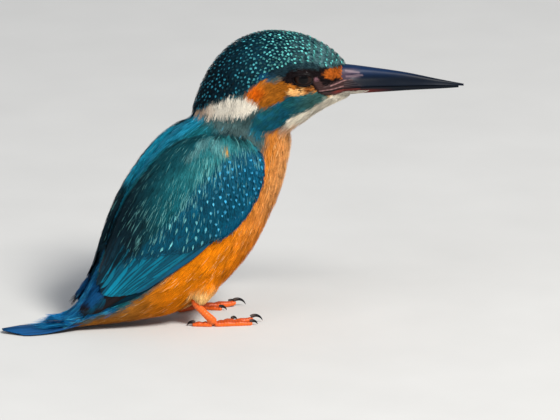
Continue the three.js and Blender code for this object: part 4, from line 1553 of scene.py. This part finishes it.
GAPE_SKIN, GAPE_RED, GAPE_PINK = paint(50, 32, 31), paint(96, 34, 28), paint(150, 112, 110)
MOUTH_DARK, EYE_CORNER = paint(16, 11, 13), paint(112, 78, 86)
GAPE_EDGES = [[(17.0, -2.4), (14, -2.1), (11.0, -2.7), (8.6, -3.0)],
              [(12.5, -4.0), (9.8, -4.2), (5.0, -4.3)]]
MOUTH_LINE = [(18.5, -4.75), (12, -4.8), (5.6, -4.8)]
GAPE_COLUMNS, GAPE_ROWS = 130, 70
GAPE_ON_FACE = 12.4  # forward of this the skin lies on the bill alone
FAR_OUT = 20  # further aside than anything on the head
GAPE_ROUNDS = 14  # how often the skin is smoothed
CHIN_LENGTH = 2.6


def gape_skin(side, bill):
    """Skin from the eye's front corner over the base of the bill, with pale raised edges."""
    sign = SIDES[side]
    along, up = np.linspace(2.0, 20.5, GAPE_COLUMNS), np.linspace(-7.6, 1.2, GAPE_ROWS)
    forward, above = np.meshgrid(along, up, indexing="ij")
    aside = np.zeros(forward.shape)
    inward = tuple(-sign * LEFT)
    for place in np.ndindex(forward.shape):
        start = tuple(from_head(forward[place], sign * FAR_OUT, above[place]))
        trees = (body.tree, *bill) if forward[place] < GAPE_ON_FACE else bill
        hits = [tree.ray_cast(start, inward)[3] for tree in trees]
        aside[place] = FAR_OUT - min((h for h in hits if h is not None), default=FAR_OUT)
    aside -= LID_COVER * smooth(6.5, 4.0, np.hypot(forward, above))
    for _ in range(GAPE_ROUNDS):
        padded = np.pad(aside, 1, mode="edge")
        aside = (padded[2:, 1:-1] + padded[:-2, 1:-1] + padded[1:-1, 2:] + padded[1:-1, :-2]) / 4
    f, h = forward.ravel(), above.ravel()
    inside = within(f, h, GAPE, 1.4)
    pink = np.max([line_in_head(f, h, line, 0.26) for line in GAPE_EDGES], axis=0)
    mouth = line_in_head(f, h, MOUTH_LINE, 0.34)
    folds = 0.05 * np.sin((h + 0.12 * f) * 11 + 0.8 * np.sin(f * 1.7))
    proud = 0.16 + 0.10 * pink - 0.20 * mouth + folds - 1.1 * (1 - inside)
    points = from_head(f, sign * (aside.ravel() + proud), h)
    colours = blended(GAPE_SKIN, BILL_DARK, 0.8 * smooth(11, 17, f) * smooth(-5, -4.4, h))
    # The colour is lighter on the folds' crests and darker in their creases: painted light and shade.
    colours = layered(
        colours * (1 + 6 * folds)[:, None],
        (GAPE_RED, smooth(8, 11, f) * smooth(-4.6, -5.0, h)),
        (MOUTH_DARK, mouth),
        (GAPE_PINK, pink * (0.4 + 0.3 * np.sin(f * 2.3) ** 2) * smooth(17, 14, f)),
        (EYE_CORNER, 0.8 * smooth(1.2, 0.4, np.hypot(f - 4.2, h + 0.2))),
    )
    a = np.arange(len(f)).reshape(forward.shape)
    faces = np.stack([a[:-1, :-1], a[1:, :-1], a[1:, 1:], a[:-1, 1:]], axis=-1).reshape(-1, 4)
    faces = faces[inside[faces].max(axis=1) > 0.02]
    if side == "left":
        faces = faces[:, ::-1]
    used, faces = np.unique(faces, return_inverse=True)
    piece_from(f"gape_{side}", points[used], [faces.reshape(-1, 4)], lid_skin, (),
               colours[used])


def chin_feathers(surface):
    """White feathers that reach forward along the underside of the lower half of the bill."""
    def where(points):
        forward, _, above = in_head(points)
        return (forward > 12) & (forward < 19 + 4 * (above + 6.6)) & (above < -5.9)

    def backwards(points, normals):
        return laid(np.tile(-FORWARD - 0.1 * UP, (len(points), 1)), normals)

    plumage = Plumage()
    roots = scattered(surface, evenly(0.5), where, 6)
    lines = traced(surface, roots, np.full(len(roots), CHIN_LENGTH), backwards, 4, 0.10)
    colours = np.tile(WHITE * 0.9, (len(roots), 1))
    grow(plumage, FACE_LOCK, lines, CHIN_LENGTH, np.full(len(roots), 0.8), colours, fitted(roots[:, :2]),
         depth=0.1, lift=0.15, fleck=0.06, root_shade=0.3)
    coat_piece("coat_chin", plumage, soft_feather)


bill_trees, lower_bill = make_bill()
chin_feathers(lower_bill)
for side in SIDES:
    gape_skin(side, bill_trees)

# ------------------------------------------------------------------ legs, toes and claws

SOLE = 0.3  # how deep a toe's pads are pressed flat on the floor
SCALE_RELIEF = 0.08
FOOT_ASIDE = 10.75
SCALE_LENGTH = 0.95
LEG_VOXEL, LEG_ROUNDS = 0.16, 5
TOE_PARTS, CLAW_STEPS, CLAW_SIDES = 40, 36, 18
CLAW_RISE, CLAW_DROOP = math.radians(28), math.radians(72)
CLAW_THICK, CLAW_FLAT = 0.62, 0.72  # half its height at the root, and its width beside its height
CLAW_ROOT = 0.8  # how far it reaches back into the toe
LEG_ORANGE, LEG_RED, LEG_PALE = paint(222, 92, 20), paint(112, 34, 18), paint(232, 140, 76)
CLAW_BASE, CLAW_TIP = paint(70, 58, 54), paint(16, 15, 18)
# From the thigh down to the foot: x, how far aside, z and radius.
SHANK = [(-5.6, 8.6, 9.8, 1.25), (-5.2, 9.4, 7.6, 1.25), (-3.0, 10.2, 4.8, 1.15),
         (-0.6, FOOT_ASIDE, 2.4, 1.3), (0.6, FOOT_ASIDE, 1.25, 1.2)]
# Which way each toe points, outwards from straight ahead, its length, thickness and lift, and how long its
# claw is.
TOES = {"middle": (-3, 13.4, 1.05, 0.7, 4.8), "outer": (8, 12.6, 0.95, 0.0, 2.9),
        "inner": (-27, 8.8, 0.9, 0.0, 2.8), "hind": (200, 6.6, 0.95, 0.0, 3.0)}
# Along a toe: how far, how thick and how much of its lift.
TOE_JOINTS = [(0.03, 1.0, 0), (0.2, 0.93, 0), (0.36, 1.04, 0), (0.52, 0.88, 0.1), (0.68, 1.0, 0.18),
              (0.84, 0.84, 0.5), (1.0, 0.86, 1.0)]


def tube(stops, steps, sides):
    """Rings round a line of (x, y, z, radius) stops, with round ends."""
    line = through(stops, steps)
    way = unit(np.gradient(line[:, :3], axis=0))
    aside = unit(np.cross(np.tile(UP, (steps, 1)), way))
    upward = np.cross(way, aside)
    share = np.linspace(-1, 1, steps)
    radius = line[:, 3] * np.sqrt(np.clip(1 - np.abs(share) ** 14, 0.05, 1))
    angle = np.linspace(0, 2 * math.pi, sides, endpoint=False)[None, :, None]
    ring = aside[:, None] * np.cos(angle) + upward[:, None] * np.sin(angle)
    return line[:, None, :3] + ring * radius[:, None, None]


def toe_stops(sign, turn, length, radius, lift):
    """A toe that lies on the floor, thick at each joint, on fleshy pads."""
    heading = sign * math.radians(turn)
    stops = []
    for share, swell, rise in TOE_JOINTS:
        x = math.cos(heading) * length * share
        y = sign * FOOT_ASIDE + math.sin(heading) * length * share
        size = radius * swell
        stops.append((x, y, size - SOLE + lift * rise, size))
    return stops


def leg_colour(points, normals):
    """Orange, redder and darker on top of the toes and paler underneath."""
    top = smooth(0.2, 0.95, normals[:, 2]) * smooth(4, 1, points[:, 2])
    return layered(LEG_ORANGE, (LEG_RED, 0.65 * top), (LEG_PALE, 0.3 * smooth(0.3, -0.7, normals[:, 2])))


def make_leg(side):
    """Shank and toes as one skin, with rings of scales."""
    sign = SIDES[side]
    tubes = [tube([(x, sign * y, z, r) for x, y, z, r in SHANK], TOE_PARTS, 20)]
    lines = [through([(x, sign * y, z) for x, y, z, _ in SHANK], 60)]
    for turn, length, radius, lift, _ in TOES.values():
        stops = toe_stops(sign, turn, length, radius, lift)
        tubes.append(tube(stops, TOE_PARTS, 18))
        lines.append(through([stop[:3] for stop in stops], 80))
    bm = bmesh.new()
    for rings in tubes:
        points, faces = closed_rings(rings)
        verts = [bm.verts.new(p) for p in points]
        for block in outward(points, faces):
            for face in block:
                bm.faces.new([verts[i] for i in face])
    mesh = bpy.data.meshes.new("leg")
    bm.to_mesh(mesh)
    bm.free()
    surface = Surface(*remeshed(mesh, LEG_VOXEL, LEG_ROUNDS))
    points, normals = surface.points, surface.point_normals
    # scales: rings across each toe and down the front of the shank
    best, phase = np.full(len(points), 1e9), np.zeros(len(points))
    for line in lines:
        reach = np.concatenate([[0], np.cumsum(np.linalg.norm(np.diff(line, axis=0), axis=1))])
        gap = np.linalg.norm(points[:, None] - line[None], axis=2)
        nearest = gap.argmin(axis=1)
        closer = gap.min(axis=1) < best
        phase = np.where(closer, reach[nearest], phase)
        best = np.minimum(best, gap.min(axis=1))
    ridge = np.abs(np.sin(phase / SCALE_LENGTH * math.pi)) ** 0.5
    relief = SCALE_RELIEF * (ridge - 0.7) * smooth(-0.5, 0.4, normals[:, 2] + 0.35 * (points[:, 2] > 2.5))
    points = points + normals * relief[:, None]
    points[:, 2] = np.maximum(points[:, 2], 0.0)
    colours = leg_colour(points, normals) * (0.72 + 0.28 * ridge)[:, None]
    nodes = [f"shank_{side}"] + [f"toe_{toe}_{side}" for toe in TOES]
    piece_from(f"leg_{side}", points, [surface.quads], leg_skin, nodes, colours)


def make_claws(side):
    """Hooked claws, flat-sided, each from the toe's end up and over and down to the floor."""
    sign = SIDES[side]
    for name, (turn, length, radius, lift, claw) in TOES.items():
        heading = sign * math.radians(turn)
        share = np.linspace(0, 1, CLAW_STEPS)[:, None]
        slope = -CLAW_RISE + share * (CLAW_RISE + CLAW_DROOP)
        turn_radius = claw / (CLAW_RISE + CLAW_DROOP)
        ahead = turn_radius * (math.sin(CLAW_RISE) + np.sin(slope))
        drop = turn_radius * (math.cos(CLAW_RISE) - np.cos(slope))
        thick = CLAW_THICK * (1 - 0.9 * share**1.5)
        angle = np.linspace(0, 2 * math.pi, CLAW_SIDES, endpoint=False)[None]
        out = thick * np.sin(angle)
        along = length - CLAW_ROOT + ahead + np.sin(slope) * out
        aside = CLAW_FLAT * thick * np.cos(angle)
        height = radius * 1.45 + lift - SOLE / 2 - drop + np.cos(slope) * out
        rings = np.stack([
            along * math.cos(heading) - aside * math.sin(heading),
            sign * FOOT_ASIDE + along * math.sin(heading) + aside * math.cos(heading),
            np.maximum(height * np.ones_like(angle), 0.01),
        ], axis=-1)
        points, faces = closed_rings(rings)
        tipward = np.concatenate([np.repeat(share[:, 0], CLAW_SIDES), [0, 1]])
        colours = blended(CLAW_BASE, CLAW_TIP, smooth(0.0, 0.5, tipward))
        piece_from(f"claw_{name}_{side}_horn", points, outward(points, faces), claw_horn,
                   [f"claw_{name}_{side}"], colours)


for side in SIDES:
    make_leg(side)
    make_claws(side)

# ------------------------------------------------------------------ floor, lights and camera

LOOK_AT, LIT_PLACE = np.array([25.63, 1.86, 33.02]), np.array([0, 0, 40])
VIEW_AZIMUTH, VIEW_ELEVATION = -16, 15
LENS, SENSOR = 600.0, 36.0
PICTURE_WIDE, PIXELS_PER_MM = 560, 3.15
FLOOR_REACH = 4.0


def aimed(name, data, place, azimuth, elevation, distance):
    """A lamp or camera that looks at a place from some metres off, with the angles in degrees."""
    a, e = math.radians(azimuth), math.radians(elevation)
    back = Vector((math.sin(a) * math.cos(e), -math.cos(a) * math.cos(e), math.sin(e)))
    thing = bpy.data.objects.new(name, data)
    bpy.context.scene.collection.objects.link(thing)
    thing.location = Vector(to_row(place)) + back * distance
    thing.rotation_mode = "QUATERNION"
    thing.rotation_quaternion = back.to_track_quat("Z", "Y")
    return thing


def make_camera():
    seen_width = PICTURE_WIDE / PIXELS_PER_MM * MM
    data = bpy.data.cameras.new("camera")
    data.lens, data.sensor_width = LENS, SENSOR
    bpy.context.scene.camera = aimed("camera", data, LOOK_AT, VIEW_AZIMUTH, VIEW_ELEVATION,
                                     seen_width * LENS / SENSOR)


def area_light(name, azimuth, elevation, distance, size, power, colour):
    data = bpy.data.lights.new(name, "AREA")
    data.energy, data.size, data.color = power, size, colour
    aimed(name, data, LIT_PLACE, azimuth, elevation, distance)


def make_stage():
    """A plain pale floor under an even pale sky."""
    mesh = bpy.data.meshes.new("floor")
    corners = [(x * FLOOR_REACH, y * FLOOR_REACH, 0) for x, y in ((-1, -1), (1, -1), (1, 1), (-1, 1))]
    mesh.from_pydata(corners, [], [(0, 1, 2, 3)])
    n = Nodes("floor")
    fine = n.noise(30.0, 4.0)
    shades = {0: fine, 6: (0.50, 0.50, 0.49, 1), 7: (0.55, 0.55, 0.54, 1)}
    pale = n.add("ShaderNodeMix", shades, data_type="RGBA").outputs[2]
    mesh.materials.append(n.finish(pale, n.ranged(fine, 0.7, 0.8), fine, 0.1, 0.001))
    floor = bpy.data.objects.new("floor", mesh)
    bpy.context.scene.collection.objects.link(floor)
    world = bpy.data.worlds.new("studio")
    world.use_nodes = True
    sky = world.node_tree.nodes["Background"].inputs
    sky["Color"].default_value = (0.85, 0.9, 1.0, 1)
    sky["Strength"].default_value = 0.4
    bpy.context.scene.world = world


make_camera()
make_stage()
area_light("key", 24, 46, 2.0, 0.55, 62.0, (1.0, 0.97, 0.92))
area_light("fill", -60, 30, 2.0, 1.2, 10.0, (0.93, 0.96, 1.0))
bpy.context.scene.view_settings.view_transform = "Standard"
